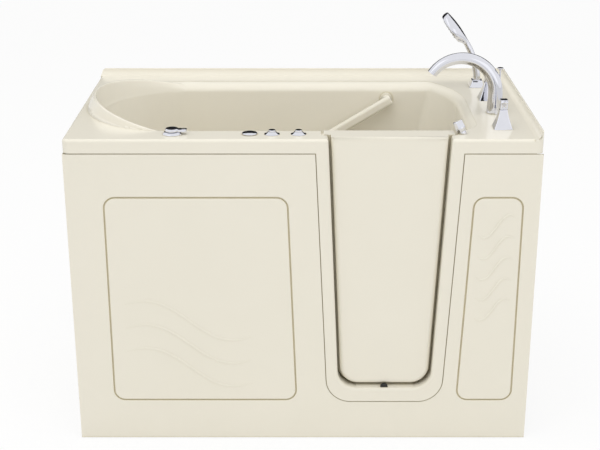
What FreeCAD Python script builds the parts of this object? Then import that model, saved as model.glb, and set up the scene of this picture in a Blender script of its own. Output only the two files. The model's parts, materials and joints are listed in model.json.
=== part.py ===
"""Walk-in jetted bathtub: moulded shell on a steel frame, hinged door, taps, jets and pump.

Millimetres. X runs from the head end to the tap end, Y from the front to the back wall, Z is up.
The origin is on the floor, in the middle of the footprint.
"""
import FreeCAD, Part
import math
import os

V = FreeCAD.Vector
X_AXIS = V(1, 0, 0)
Y_AXIS = V(0, 1, 0)
Z_AXIS = V(0, 0, 1)

# overall sizes and the clearances between pieces
LENGTH = 1346.0
WIDTH = 762.0
DECK_Z = 945.0
WALL = 6.0
SEAT_GAP = 0.3
SAME = 0.005
RUN_GAP = 0.05

# shell rim
LIP_DROP = 40.0
LIP_CORNER = 18.0
DECK_EDGE_R = 8.0
FLANGE_RISE = 22.0
FLANGE_WALL = 6.0
FLANGE_COVE = 20.0
FLANGE_EDGE_R = 2.5
FLANGE_END_R = 18.0

# basin
FRONT_DECK = 93.0
BACK_DECK = 132.0
HEAD_DECK = 61.0
FOOT_DECK = 195.0
HEAD_ROUND = 298.0
FLOOR_Z = 95.0
SEAT_Z = 430.0
SEAT_LENGTH = 733.0
SEAT_EDGE_R = 45.0
BASIN_FILLET = 28.0
HEAD_LEAN = 0.217
FOOT_LEAN = 0.0193
BACK_LEAN = 0.0531
FOOT_CORNER_FRONT = 12.0
FOOT_TURN_X = 70.0
FOOT_TURN_Y = 199.0
FOOT_SPREAD_X = 0.2
FOOT_SPREAD_Y = 0.076
FOOT_CREASE_R = 22.0
FOOT_TURN_SHARE = 0.6
ROLL_DEPTH = 28.0
ROLL_FRONT = 8.0
ROLL_HEAD = 12.0
ROLL_FOOT = 33.0
ROLL_BACK = 48.0
ROLL_CORNER = 95.0
ROLL_TURN = math.radians(78)
ROLL_STEPS = 4

# head bolster
BOLSTER_MARGIN = 18.0
BOLSTER_RISE = 47.0
BOLSTER_SINK = 9.0
BOLSTER_CREST = 0.42
BOLSTER_CREST_R = 5.0
BOLSTER_FRONT = 14.0
BOLSTER_BACK = 42.0
BOLSTER_STEPS = 12
BOLSTER_ROOT = 0.5
BOLSTER_BOW = 0.6

# door opening and door
JAMB_INSET = 256.0
JAMB_WIDTH = 346.0
JAMB_TAPER = 0.0454
SILL_Z = 168.0
SILL_R = 56.0
REBATE = 20.0
SEAL_DEPTH = 45.0
SEAL_T = 6.0
SURROUND = 36.0
SURROUND_TAPER = 0.0478
SURROUND_LOW = 43.0
SURROUND_R = 72.0
DOOR_SETBACK = 16.0
DOOR_GAP_TOP = 8.0
DOOR_GAP_LOW = 6.5
DOOR_WALL = 5.0
DOOR_FACE_R = 15.0
DOOR_OVERLAP = 20.0
WEEP_R = 11.0

# door hinges
HINGE_OUT = 26.0
HINGE_ABOVE_SILL = 162.0
HINGE_BELOW_DECK = 155.0
KNUCKLE_R = 5.5
KNUCKLE_H = 22.0
KNUCKLE_PLAY = 0.5
PIN_R = 3.0
LEAF_T = 2.5
DOOR_LEAF = 62.0
FRAME_LEAF = 14.0
HINGE_SCREW_R = 4.0
HINGE_SCREW_H = 2.0
HINGE_SCREW_EDGE = 8.0
HINGE_SCREW_PITCH = 16.0

# door latch
LATCH_DROP = 145.0
LATCH_INSET = 43.0
SPINDLE_R = 6.0
ROSE_R = 20.0
ROSE_T = 2.0
CAM_T = 5.0
CAM_LENGTH = 66.0
CAM_WIDTH = 16.0
CAM_CORNER = 3.0
LATCH_STAND = 8.0
LATCH_HUB_R = 14.0
LATCH_HUB_T = 14.0
LATCH_BEVEL = 3.0
LATCH_GRIP_L = 105.0
LATCH_GRIP_R = 6.5
LATCH_WAIST_R = 5.5
LATCH_END_R = 7.5
KEEPER_H = 46.0
KEEPER_W = 22.0
KEEPER_LIP = 14.0
KEEPER_T = 3.0
KEEPER_CLEAR = 4.0
CAM_CLEAR = 1.0

# skirts
SKIRT_T = 6.0
SEAM = 2.5
SKIRT_LIFT = 1.0
SKIRT_TUCK = 14.0
GROOVE_W = 3.6
GROOVE_DEPTH = 4.6
GROOVE_SOFT = 2.6
BEAD_W = 14.0
BEAD_H = 2.0
BEAD_SINK = 0.5
BEAD_TIP = 0.12
BEAD_FULLNESS = 0.7
BEAD_STEPS = 10
PANEL_LEFT = 108.0
PANEL_GAP = 90.0
PANEL_SLANT = 25.0
PANEL_SIDE = 44.0
PANEL_RIGHT = 48.0
PANEL_TOP = 131.0
PANEL_LOW = 130.0
PANEL_R = 32.0
WAVE_ROWS = 3
WAVE_X = 154.0
WAVE_TOP = 461.0
WAVE_PITCH = 76.0
WAVE_LENGTH = 368.0
WAVE_RISE = 20.0
WAVE_FALL = 105.0
RIPPLE_ROWS = 5
RIPPLE_X = 171.0
RIPPLE_TOP = 246.0
RIPPLE_PITCH = 65.0
RIPPLE_LENGTH = 103.0
RIPPLE_RISE = 12.0
RIPPLE_FALL = 57.0

# frame
TUBE = 25.0
TUBE_WALL = 2.0
RAIL_INSET = 51.0
FRAME_END = 40.0
SEAT_POST_INSET = 181.0
BRACKET_END = 153.0
BRACKET_JAMB = 222.0
BRACKET_TAP = 113.0
BRACKET_W = 40.0
BRACKET_T = 3.0
FOOT_END = 70.0
FOOT_R = 26.0
FOOT_H = 9.0
STUD_R = 6.0
NUT_R = 11.0
NUT_H = 8.0
HEX_SIDES = 6

# grab bar
BAR_W = 30.0
BAR_D = 26.0
BAR_STAND = 38.0
BAR_POST_R = 14.0
BAR_ROUND = 9.0
BAR_END_R = 5.4
BAR_HIGH_INSET = 401.0
BAR_HIGH_DROP = 48.0
BAR_LOW_INSET = 689.0
BAR_LOW_DROP = 222.0
PAD_T = 6.0

# jets
JET_HOLE_R = 22.0
JET_TRIM_R = 34.0
JET_TRIM_LIP = 4.0
JET_TRIM_T = 7.0
JET_SEAT_T = 2.0
JET_NOZZLE_R = 19.0
JET_MOUTH_R = 5.0
JET_NOSE_R = 12.0
JET_NOSE_WALL = 5.0
JET_NOSE = 9.0
JET_VANE_T = 3.0
JET_VANES = 4
JET_BLOCK = 44.0
JET_BLOCK_LAP = 10.0
JET_TAIL = 62.0
JET_NUT_R = 34.0
NOZZLE_L = 24.0
BACK_JET_PITCH = 180.0
BACK_JET_RISE = 170.0
FOOT_JET_Y = 120.0
FOOT_JET_Z = 270.0

# suction, pump and pressure pipe
SUCTION_TAIL = 40.0
SUCTION_R = 25.0
SUCTION_WALL = 6.0
SUCTION_FLANGE_T = 3.0
SUCTION_COVER_R = 55.0
SUCTION_COVER_T = 9.0
SUCTION_COVER_WALL = 3.0
SUCTION_COVER_BEVEL = 14.0
SUCTION_COVER_LIP = 7.0
SUCTION_PIPE_WALL = 4.0
SLOT_RINGS = 3
SLOT_FIRST = 14.0
SLOT_STEP = 10.0
SLOT_R = 2.5
SLOT_PITCH = 12.0
PUMP_SETBACK = 230.0
PUMP_SIDE = -20.0
PUMP_ABOVE_RAIL = 101.3
PUMP_BODY_R = 78.0
PUMP_BODY_L = 66.0
PUMP_WALL = 10.0
PUMP_BACK_WALL = 8.0
PUMP_BEVEL = 8.0
PUMP_NECK_WALL = 8.0
PUMP_INLET = 40.0
PUMP_OUTLET_SIDE = 50.0
PUMP_OUTLET_RISE = 16.0
PUMP_OUTLET_WALL = 6.0
IMPELLER_CLEAR = 8.0
IMPELLER_DISC = 4.0
IMPELLER_HUB_R = 18.0
IMPELLER_NOSE_R = 12.0
IMPELLER_SETBACK = 14.0
BLADES = 6
BLADE_T = 4.0
SHAFT_IN = 60.0
SHAFT_R = 8.0
MOTOR_R = 72.0
MOTOR_L = 200.0
MOTOR_BEVEL = 12.0
FINS = 24
FIN_T = 3.0
FIN_OUT = 8.0
FIN_ROOT = 6.0
FIN_END = 22.0
FIN_LOWEST = 18
PUMP_FOOT_W = 170.0
PUMP_FOOT_T = 8.0
SADDLE_W = 100.0
SADDLE_L = 70.0
SADDLE_INSET = 40.0
STAND_INSET = 10.0
PIPE_R = 16.0
PIPE_WALL = 3.0
PIPE_LEVEL = 40.0
PIPE_ELBOW = 4.0

# waste and overflow
DRAIN_R = 36.0
DRAIN_BEVEL = 4.0
DRAIN_LIP = 3.0
DRAIN_DEPTH = 34.0
DRAIN_WALL = 5.0
BRIDGE_TOP = 16.0
BRIDGE_T = 6.0
BRIDGE_BOSS_R = 8.0
BRIDGE_BOSS = 14.0
PORTS = 6
PORT_R = 4.5
PORT_RING = 16.0
STOPPER_R = 27.0
STOPPER_STEP = 6.0
STOPPER_RIM = 5.0
STOPPER_TOP = 9.0
STOPPER_STEM_R = 4.0
STEM_L = 29.0
WASTE_R = 20.0
WASTE_Z = 34.0
WASTE_CUP_WALL = 4.0
WASTE_CLEAR = 6.0
WASTE_END = 71.0
SPIGOT_L = 40.0
SPIGOT_STEP = 1.0
OVERFLOW_INSET = 203.0
OVERFLOW_SIDE = 47.0
OVERFLOW_DROP = 65.0
OVERFLOW_TURN = 150.0
OVERFLOW_ASIDE = 70.0
OVERFLOW_BACK = 92.0

# waste control beside the door
CONTROL_BACK = 18.0
CONTROL_SIDE = 14.0
CONTROL_SHANK = 62.0
CONTROL_SHANK_R = 7.0
CONTROL_R = 11.0
CONTROL_COLLAR = 6.6
CONTROL_BORE = 10.0
KNOB_W = 28.0
KNOB_L = 32.0
KNOB_FOOT = 0.8
KNOB_TOP = 0.92
KNOB_WAIST = 10.0
KNOB_TILT = V(-0.42, 0.18, 0.89)

# front deck controls
DECK_CONTROL_INSET = 57.0
DIVERTER_END = 304.0
AIR_KNOB_JAMB = 221.0
BUTTON_JAMB = 83.0
BUTTON_PITCH = 75.0
DECK_SHANK_R = 15.0
DECK_SHANK = 48.0
FACETS = 8
DIVERTER_W = 54.0
DIVERTER_T = 8.0
DIVERTER_EDGE = 3.0
DIVERTER_DRAFT = 2.0
DIVERTER_BEVEL = 12.0
DIVERTER_BODY_R = 26.0
DIVERTER_BODY = 44.0
DIVERTER_LAP = 4.0
DIVERTER_PORT = 48.0
DIVERTER_HUB_R = 20.0
DIVERTER_HUB_T = 9.0
DIVERTER_ARM = 42.0
DIVERTER_ARM_W = 20.0
DIVERTER_ARM_T = 7.0
DIVERTER_ARM_R = 6.0
DIVERTER_STEM = 18.0
STEM_R = 4.0
AIR_KNOB_R = 22.0
AIR_KNOB_H = 5.8
AIR_KNOB_STEPS = 5
AIR_SEAT_T = 1.5
BUTTON_R = 10.5
BUTTON_TRAVEL = 4.0
BUTTON_PLAY = 0.1
BUTTON_STAND = 12.7
BUTTON_BEVEL = 1.5
BUTTON_DEPTH = 6.0
BUTTON_ROOM = 8.0
BELL_R = 22.0
BELL_H = 7.5
BELL_LIP = 1.2
BELL_WAIST = 0.72

# tap set
TAP_INSET = 100.0
TAP_FIRST = 123.0
TAP_LAST = 157.0
TAP_PLACES = 4
TAP_SHANK_R = 14.0
TAP_SHANK = 60.0
TAP_SHANK_WALL = 4.0
TAP_BLOCK_R = 20.0
TAP_BLOCK = 40.0
TAIL_R = 10.5
TAIL_LENGTH = 40.0
BASE_W = 54.0
BASE_NECK = 22.0
BASE_H = 55.0
BASE_CORNER = 3.0
BASE_STEPS = 5
BASE_CURVE = 1.35
HEAD_W = 22.0
HEAD_H = 28.0
HEAD_CORNER = 3.0
HEAD_EDGE = 1.5
LEVER_REACH = 52.0
LEVER_RISE = 0.36
LEVER_ROOT = 10.0
LEVER_END = 6.0
LEVER_NOSE = 3.0
SPOUT_FOOT_R = 24.5
SPOUT_MOUTH_R = 15.0
SPOUT_TAPER = 0.8
SPOUT_WALL = 3.5
SPOUT_RISE = 61.0
SPOUT_BEND_R = 104.0
SPOUT_SWEEP = 146.0
SPOUT_RISE_SHARE = 0.25
SPOUT_STEPS = 12
SPOUT_FLOOR = 4.0
LIFT_ROD_R = 2.4
LIFT_KNOB_R = 9.3
LIFT_NECK_R = 4.0
LIFT_NECK = 10.0
LIFT_CAP = 2.0
LIFT_OUT = 11.0
LIFT_TOP = 136.0
LIFT_ROD_L = 60.0

# hand shower
SHOWER_BACK = 12.0
SHOWER_LOW = 8.0
SHOWER_BEND_R = 246.0
SHOWER_BEND = math.radians(35)
SHOWER_STEPS = 16
GRIP_R = 12.5
GRIP_WAIST = 2.7
GRIP_FLAT = 1.05
SHOWER_NECK = 5.0
SHOWER_HEAD_L = 110.0
SHOWER_HEAD_W = 33.0
SHOWER_HEAD_FORE = 30.0
SHOWER_HEAD_TIP = 6.0
SHOWER_FACE = 20.0
SHOWER_SOFT = 1.2
SHOWER_BLUNT = 0.7
SPRAY_R = 36.0
SPRAY_T = 3.0
SPRAY_SUNK = 2.0
SPRAY_UP = 57.0
NUB_RINGS = 3
NUB_STEP = 10.0
NUB_R = 1.6
NUB_TIP_R = 1.0
NUB_H = 2.5
NUB_PITCH = 12.0
HOLDER_W = 52.0
HOLDER_TOP = 32.0
HOLDER_H = 22.0
HOLDER_LEDGE = 2.0

# planes and places worked out from the sizes above
LEFT = -LENGTH / 2
RIGHT = LENGTH / 2
FRONT = BEAD_H - WIDTH / 2
BACK = WIDTH / 2
LIP_Z = DECK_Z - LIP_DROP
WALL_TOP = DECK_Z - ROLL_DEPTH
BASIN_FRONT = FRONT + FRONT_DECK
BASIN_BACK = BACK - BACK_DECK
HEAD_X = LEFT + HEAD_ROUND
SEAT_X = LEFT + SEAT_LENGTH
JAMB_R = RIGHT - JAMB_INSET
JAMB_L = JAMB_R - JAMB_WIDTH
DOOR_OUT = FRONT + DOOR_SETBACK
SEAL_Y = FRONT + SEAL_DEPTH
FLANGE_Y = SEAL_Y + SEAL_T
DOOR_TAPER = (DOOR_GAP_LOW - DOOR_GAP_TOP) / (DECK_Z - SILL_Z) + JAMB_TAPER
HINGE_X = JAMB_R - DOOR_GAP_TOP + HINGE_OUT
HINGE_Y = BASIN_FRONT + KNUCKLE_R + KNUCKLE_PLAY
HINGE_HEIGHTS = (SILL_Z + HINGE_ABOVE_SILL, DECK_Z - HINGE_BELOW_DECK)
LATCH_X = JAMB_L + LATCH_INSET
LATCH_Z = DECK_Z - LATCH_DROP
RAIL_TOP = FLOOR_Z - WALL - SEAT_GAP
RAIL_LOW = RAIL_TOP - TUBE
RAIL_Y = (FRONT + RAIL_INSET, BACK - RAIL_INSET)
PUMP = V(SEAT_X - PUMP_SETBACK, PUMP_SIDE, RAIL_TOP + PUMP_ABOVE_RAIL)
PUMP_REAR = PUMP.x - PUMP_BODY_L
PUMP_OUTLET = V(PUMP.x - PUMP_BODY_L / 2, PUMP.y + PUMP_OUTLET_SIDE, PUMP.z + PUMP_BODY_R + PUMP_OUTLET_RISE)
CROSS_SEAT = SEAT_X + 2 * TUBE
CROSS_FOOT = RIGHT - FOOT_DECK - TUBE
DRAIN = V((CROSS_SEAT + CROSS_FOOT) / 2, PUMP_SIDE, FLOOR_Z)
OVERFLOW = V(RIGHT - OVERFLOW_INSET, FRONT + OVERFLOW_SIDE, DECK_Z - OVERFLOW_DROP)
CONTROL = V(OVERFLOW.x - CONTROL_BACK, OVERFLOW.y + CONTROL_SIDE, DECK_Z)
CONTROL_AXIS = V(KNOB_TILT).normalize()
DECK_CONTROL_Y = FRONT + DECK_CONTROL_INSET
DIVERTER = V(LEFT + DIVERTER_END, DECK_CONTROL_Y, DECK_Z)
AIR_KNOB = V(JAMB_L - AIR_KNOB_JAMB, DECK_CONTROL_Y, DECK_Z)
BUTTON_X = (JAMB_L - BUTTON_JAMB - BUTTON_PITCH, JAMB_L - BUTTON_JAMB)
TAP_X = RIGHT - TAP_INSET
TAP_PITCH = (WIDTH - BEAD_H - TAP_FIRST - TAP_LAST) / (TAP_PLACES - 1)
TAP_Y = [FRONT + TAP_FIRST + TAP_PITCH * place for place in range(TAP_PLACES)]
SPOUT = V(TAP_X, TAP_Y[1], DECK_Z)
SHOWER = V(TAP_X - SHOWER_BACK, TAP_Y[3], DECK_Z)


# general shapes


def box(x0, x1, y0, y1, z0, z1):
    """Box between two corners."""
    return Part.makeBox(x1 - x0, y1 - y0, z1 - z0, V(x0, y0, z0))


def rod(start, end, radius):
    """Round bar from one point to another."""
    axis = end - start
    return Part.makeCylinder(radius, axis.Length, start, axis)


def tube(start, end, outer, inner):
    """Round pipe from one point to another."""
    return rod(start, end, outer).cut(rod(start, end, inner))


def joined(shapes):
    """One solid from shapes that overlap or share faces."""
    return shapes[0].multiFuse(list(shapes[1:])).removeSplitter()


def pipe_run(points, radius):
    """Round bar along straight runs, with a ball at each bend."""
    runs = [rod(start, end, radius) for start, end in zip(points, points[1:])]
    return joined(runs + [Part.makeSphere(radius, point) for point in points[1:-1]])


def placed(shape, base, axis):
    """Shape drawn up the Z axis, stood at base along another axis."""
    turn = FreeCAD.Placement(base, FreeCAD.Rotation(Z_AXIS, axis))
    return shape.transformed(turn.toMatrix())


def turned(profile, base, axis=Z_AXIS):
    """Solid of revolution from (radius, height) points, stood at base along axis."""
    points = [V(radius, 0, height) for radius, height in profile]
    face = Part.Face(Part.makePolygon(points + points[:1]))
    return placed(face.revolve(V(0, 0, 0), Z_AXIS, 360), base, axis)


def rounded_wire(corners, radii):
    """Closed flat wire through the corners, each one rounded by its radius."""
    edges = []
    last = None
    first = None
    count = len(corners)
    for index in range(count):
        corner = corners[index]
        to_last = (corners[index - 1] - corner).normalize()
        to_next = (corners[(index + 1) % count] - corner).normalize()
        half = to_last.getAngle(to_next) / 2
        reach = radii[index] / math.tan(half)
        start = corner + to_last * reach
        end = corner + to_next * reach
        if last is None:
            first = start
        elif (start - last).Length > SAME:
            edges.append(Part.LineSegment(last, start).toShape())
        if radii[index]:
            bisector = (to_last + to_next).normalize()
            centre = corner + bisector * (radii[index] / math.sin(half))
            middle = centre - bisector * radii[index]
            edges.append(Part.Arc(start, middle, end).toShape())
        last = end
    if (first - last).Length > SAME:
        edges.append(Part.LineSegment(last, first).toShape())
    return Part.Wire(edges)


def prism(wire, direction):
    """Solid swept straight from a flat wire."""
    return Part.Face(wire).extrude(direction)


def rounded_plan(x0, x1, y0, y1, z, radius):
    """Rounded rectangle in plan."""
    corners = [V(x0, y0, z), V(x1, y0, z), V(x1, y1, z), V(x0, y1, z)]
    return rounded_wire(corners, [radius] * len(corners))


def square_wire(side, z, radius):
    """Rounded square about the Z axis."""
    half = side / 2
    return rounded_plan(-half, half, -half, half, z, radius)


def facet_wire(width, z, sides=FACETS):
    """Outline with equal sides about the Z axis, as wide across the flats as stated."""
    radius = width / 2 / math.cos(math.pi / sides)
    turns = [2 * math.pi * (side + 0.5) / sides for side in range(sides)]
    points = [V(radius * math.cos(turn), radius * math.sin(turn), z) for turn in turns]
    return Part.makePolygon(points + points[:1])


def ring_places(radius, pitch):
    """Points evenly spread round a circle about the Z axis, about a pitch apart."""
    count = int(2 * math.pi * radius / pitch)
    turns = [2 * math.pi * place / count for place in range(count)]
    return [V(radius * math.cos(turn), radius * math.sin(turn), 0) for turn in turns]


def edges_where(shape, test):
    """Edges whose points all pass a test."""
    chosen = []
    for edge in shape.Edges:
        first, last = edge.ParameterRange
        points = [edge.valueAt(first + (last - first) * share) for share in (0.0, 0.5, 1.0)]
        if all(test(point) for point in points):
            chosen.append(edge)
    return chosen


def near(value, target):
    """True where two lengths agree closely enough to be the same."""
    return abs(value - target) < SAME


# door-shaped outlines: open at the top, sides drawn in towards a rounded foot


def u_wire(grow, y, top, left=JAMB_L, right=JAMB_R, taper=JAMB_TAPER, low=SILL_Z, radius=SILL_R):
    """Door-shaped outline at a depth, grown all round but at the top."""
    foot = low - grow
    draw_in = taper * (DECK_Z - foot)
    rise = taper * (top - DECK_Z)
    corners = [
        V(left - grow - rise, y, top),
        V(left - grow + draw_in, y, foot),
        V(right + grow - draw_in, y, foot),
        V(right + grow + rise, y, top),
    ]
    return rounded_wire(corners, [0, radius + grow, radius + grow, 0])


def u_block(grow, y0, y1, top, *outline):
    """Block with a door-shaped outline."""
    return prism(u_wire(grow, y0, top, *outline), V(0, y1 - y0, 0))


def door_block(grow, y0, y1, top=DECK_Z):
    """Block with the door's own outline."""
    left = JAMB_L + DOOR_GAP_TOP
    right = JAMB_R - DOOR_GAP_TOP
    return u_block(grow, y0, y1, top, left, right, DOOR_TAPER, SILL_Z + DOOR_GAP_LOW)


def surround_block(grow, y0, y1, top):
    """Block with the outline of the flat surround around the doorway."""
    left = JAMB_L - SURROUND
    right = JAMB_R + SURROUND
    return u_block(grow, y0, y1, top, left, right, SURROUND_TAPER, SILL_Z - SURROUND_LOW, SURROUND_R)


# tub shell


def back_wall_y(z):
    """Place of the leaning back wall at a height."""
    return BASIN_BACK - BACK_LEAN * (WALL_TOP - z)


def half_ellipse(z, left, front, back):
    """Arc of the head end, from the back round to the front."""
    middle = (front + back) / 2
    centre = V(HEAD_X, middle, z)
    across = V(0, (back - front) / 2, 0)
    along = V(left - HEAD_X, 0, 0)
    if across.Length >= along.Length:
        ellipse = Part.Ellipse(centre + across, centre + along, centre)
        return Part.Arc(ellipse, 0, math.pi).toShape()
    ellipse = Part.Ellipse(centre + along, centre - across, centre)
    return Part.Arc(ellipse, -math.pi / 2, math.pi / 2).toShape()


def foot_corner(z, right, back, turn_x, turn_y, crease):
    """Edges from the foot wall round a broad sweep to the back wall, with a tight last turn."""
    turn_x = min(turn_x, FOOT_TURN_SHARE * (right - SEAT_X))
    start = V(right, back - turn_y, z)
    sweep = (turn_x ** 2 + turn_y ** 2) / (2 * turn_x)
    centre = V(right - sweep, start.y, z)
    rise = turn_y - crease
    tight = V(centre.x + math.sqrt((sweep - crease) ** 2 - rise ** 2), back - crease, z)
    out = (tight - centre).normalize()
    meet = centre + out * sweep
    end = V(tight.x, back, z)
    sweep_mid = centre + (X_AXIS + out).normalize() * sweep
    tight_mid = tight + (out + Y_AXIS).normalize() * crease
    return [Part.Arc(start, sweep_mid, meet).toShape(), Part.Arc(meet, tight_mid, end).toShape()], start, end


def basin_wire(z, left, right, front, back, corner_front, turn_x, turn_y, crease):
    """Plan of the basin at one height."""
    diagonal = math.sqrt(0.5)
    inset = corner_front * (1 - diagonal)
    turn_start = V(right - corner_front, front, z)
    turn_end = V(right, front + corner_front, z)
    turn_mid = V(right - inset, front + inset, z)
    corner, side_end, back_start = foot_corner(z, right, back, turn_x, turn_y, crease)
    return Part.Wire([
        half_ellipse(z, left, front, back),
        Part.LineSegment(V(HEAD_X, front, z), turn_start).toShape(),
        Part.Arc(turn_start, turn_mid, turn_end).toShape(),
        Part.LineSegment(turn_end, side_end).toShape(),
        *corner,
        Part.LineSegment(back_start, V(HEAD_X, back, z)).toShape(),
    ])


def wall_wire(z, grow):
    """Plan of the leaning basin walls at a height, grown outwards."""
    drop = WALL_TOP - z
    return basin_wire(
        z,
        LEFT + HEAD_DECK + HEAD_LEAN * drop - grow,
        RIGHT - FOOT_DECK - FOOT_LEAN * drop + grow,
        BASIN_FRONT - grow,
        back_wall_y(z) + grow,
        FOOT_CORNER_FRONT + grow,
        FOOT_TURN_X + FOOT_SPREAD_X * drop + grow,
        FOOT_TURN_Y + FOOT_SPREAD_Y * drop + grow,
        FOOT_CREASE_R + FOOT_SPREAD_Y * drop + grow,
    )


def roll_wire(angle, grow):
    """Plan of the rolled rim, from upright wall (0) to level deck (a quarter turn)."""
    swell = 1 - math.cos(angle)
    out = grow * math.cos(angle)
    z = WALL_TOP + (ROLL_DEPTH - grow) * math.sin(angle)
    return basin_wire(
        z,
        LEFT + HEAD_DECK - ROLL_HEAD * swell - out,
        RIGHT - FOOT_DECK + ROLL_FOOT * swell + out,
        BASIN_FRONT - ROLL_FRONT * swell - out,
        BASIN_BACK + ROLL_BACK * swell + out,
        FOOT_CORNER_FRONT + (ROLL_CORNER - FOOT_CORNER_FRONT) * swell + out,
        FOOT_TURN_X + ROLL_FOOT * swell + out,
        FOOT_TURN_Y + ROLL_BACK * swell + out,
        FOOT_CREASE_R + ROLL_FOOT * swell + out,
    )


def seat_mass(grow):
    """Ground left standing under the seat, in front of the footwell."""
    top = SEAT_Z - grow
    face = SEAT_X - grow
    corners = [V(LEFT, FRONT, 0), V(face, FRONT, 0), V(face, FRONT, top), V(LEFT, FRONT, top)]
    return prism(rounded_wire(corners, [0, 0, SEAT_EDGE_R - grow, 0]), V(0, WIDTH, 0))


def basin(grow, top):
    """Space inside the basin up to a height, grown outwards for the back of the shell."""
    rolls = [roll_wire(ROLL_TURN * step / ROLL_STEPS, grow) for step in range(ROLL_STEPS + 1)]
    rim = Part.makeLoft(rolls, True, False)
    brink = prism(rolls[-1], V(0, 0, top - rolls[-1].BoundBox.ZMin))
    walls = Part.makeLoft([wall_wire(WALL_TOP, grow), wall_wire(FLOOR_Z - grow, grow)], True, True)
    return walls.cut(seat_mass(grow)).fuse([rim, brink]).removeSplitter()


def rounded_basin():
    """Space inside the basin with its inner corners rounded."""
    space = basin(0, DECK_Z + WALL)

    def low_corner(point):
        on_floor = near(point.z, FLOOR_Z)
        on_seat = near(point.z, SEAT_Z)
        return on_floor or on_seat

    return space.makeFillet(BASIN_FILLET, edges_where(space, low_corner))


def head_point(turn, left, front, back):
    """Plan point of the head end's oval, from the front (-90) over the end (0) to the back (90)."""
    half = (back - front) / 2
    return V(HEAD_X + (left - HEAD_X) * math.cos(turn), (front + back) / 2 + half * math.sin(turn), 0)


def bolster_section(turn):
    """Upright section of the bolster: from the basin wall up to its crest and down to the deck."""
    inner = head_point(turn, LEFT + HEAD_DECK, BASIN_FRONT, BASIN_BACK)
    outer = head_point(turn, LEFT + BOLSTER_MARGIN, BASIN_FRONT - BOLSTER_FRONT, BASIN_BACK + BOLSTER_BACK)
    span = (outer - inner).Length
    across = (outer - inner).normalize()
    level = math.cos(turn)
    crest = DECK_Z - BOLSTER_SINK + (BOLSTER_RISE + BOLSTER_SINK) * level
    deck = DECK_Z - SEAT_GAP - (BOLSTER_SINK + BOLSTER_CREST_R) * (1 - level) ** 2
    top = BOLSTER_CREST * span
    soft = min(BOLSTER_CREST_R, top / 2)

    def at(out, z):
        return inner + across * out + V(0, 0, z)

    wall = at(BOLSTER_ROOT, WALL_TOP)
    rise = at(top - soft, crest - soft / 2)
    bow = BOLSTER_BOW * (rise.z - WALL_TOP)
    inside = Part.BezierCurve()
    inside.setPoles([wall, at(BOLSTER_ROOT + HEAD_LEAN * level * bow, WALL_TOP + bow), rise])
    fall = at(top + soft, crest - soft / 2)
    foot = at(span, deck)
    under = at(span, deck - WALL / 2)
    bend = at(span / 2, deck - WALL / 2)
    root = at(WALL / 2, WALL_TOP)
    return Part.Wire([
        inside.toShape(),
        Part.Arc(rise, at(top, crest), fall).toShape(),
        Part.LineSegment(fall, foot).toShape(),
        Part.LineSegment(foot, under).toShape(),
        Part.LineSegment(under, bend).toShape(),
        Part.LineSegment(bend, root).toShape(),
        Part.LineSegment(root, wall).toShape(),
    ])


def head_bolster():
    """Raised ridge round the head end, highest at the end and fading along both sides."""
    turns = [math.pi * (step / BOLSTER_STEPS - 0.5) for step in range(BOLSTER_STEPS + 1)]
    return Part.makeLoft([bolster_section(turn) for turn in turns], True, False)


def tile_flange():
    """Upstand along the back and the tap end, coved down to the deck, its free ends rounded."""
    low = DECK_Z - WALL
    top = DECK_Z + FLANGE_RISE
    inner = FLANGE_WALL + FLANGE_COVE
    radii = [0, FLANGE_EDGE_R, FLANGE_EDGE_R, FLANGE_COVE, 0, 0]
    section = [(0, low), (0, top), (FLANGE_WALL, top), (FLANGE_WALL, DECK_Z), (inner, DECK_Z), (inner, low)]
    back = prism(rounded_wire([V(LEFT, BACK - depth, z) for depth, z in section], radii), V(LENGTH, 0, 0))
    side = prism(rounded_wire([V(RIGHT - depth, FRONT, z) for depth, z in section], radii),
                 V(0, BACK - FRONT, 0))
    ends = [0, 0, 0, FLANGE_END_R]
    long_view = [V(LEFT, FRONT, low), V(RIGHT, FRONT, low), V(RIGHT, FRONT, top), V(LEFT, FRONT, top)]
    end_view = [V(LEFT, FRONT, low), V(LEFT, BACK, low), V(LEFT, BACK, top), V(LEFT, FRONT, top)]
    back = back.common(prism(rounded_wire(long_view, ends), V(0, BACK - FRONT, 0)))
    side = side.common(prism(rounded_wire(end_view, ends), V(LENGTH, 0, 0)))
    plan = rounded_plan(LEFT, RIGHT, FRONT, BACK, low, LIP_CORNER)
    return back.fuse(side).common(prism(plan, V(0, 0, top - low)))


def doorway():
    """Cutter for the doorway between the jambs."""
    return u_block(0, FRONT - WALL, BASIN_FRONT, DECK_Z + LIP_DROP)


def on_jamb_edge(point):
    """True on the doorway's front edge."""
    return near(point.y, FRONT) and JAMB_L - SEAM < point.x < JAMB_R + SEAM and point.z > SILL_Z - SEAM


def rim_pan():
    """Deck plate with its turned-down lip, open at the doorway."""
    plan = rounded_plan(LEFT, RIGHT, FRONT, BACK, LIP_Z, LIP_CORNER)
    pan = prism(plan, V(0, 0, LIP_DROP)).cut(doorway())

    def open_edge(point):
        outer = point.y < BACK - LIP_CORNER and point.x < RIGHT - LIP_CORNER + SEAM
        return near(point.z, DECK_Z) and outer and not JAMB_L + SEAM < point.x < JAMB_R - SEAM

    pan = pan.makeFillet(DECK_EDGE_R, edges_where(pan, open_edge) + edges_where(pan, on_jamb_edge))
    hollow = rounded_plan(LEFT + WALL, RIGHT - WALL, FRONT + WALL, BACK - WALL, LIP_Z, LIP_CORNER - WALL)
    return pan.cut(prism(hollow, V(0, 0, LIP_DROP - WALL)))


def jamb_block(y0):
    """Thick block that carries the door's rebate."""
    return u_block(REBATE + WALL, y0, BASIN_FRONT, DECK_Z - WALL / 2)


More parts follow.
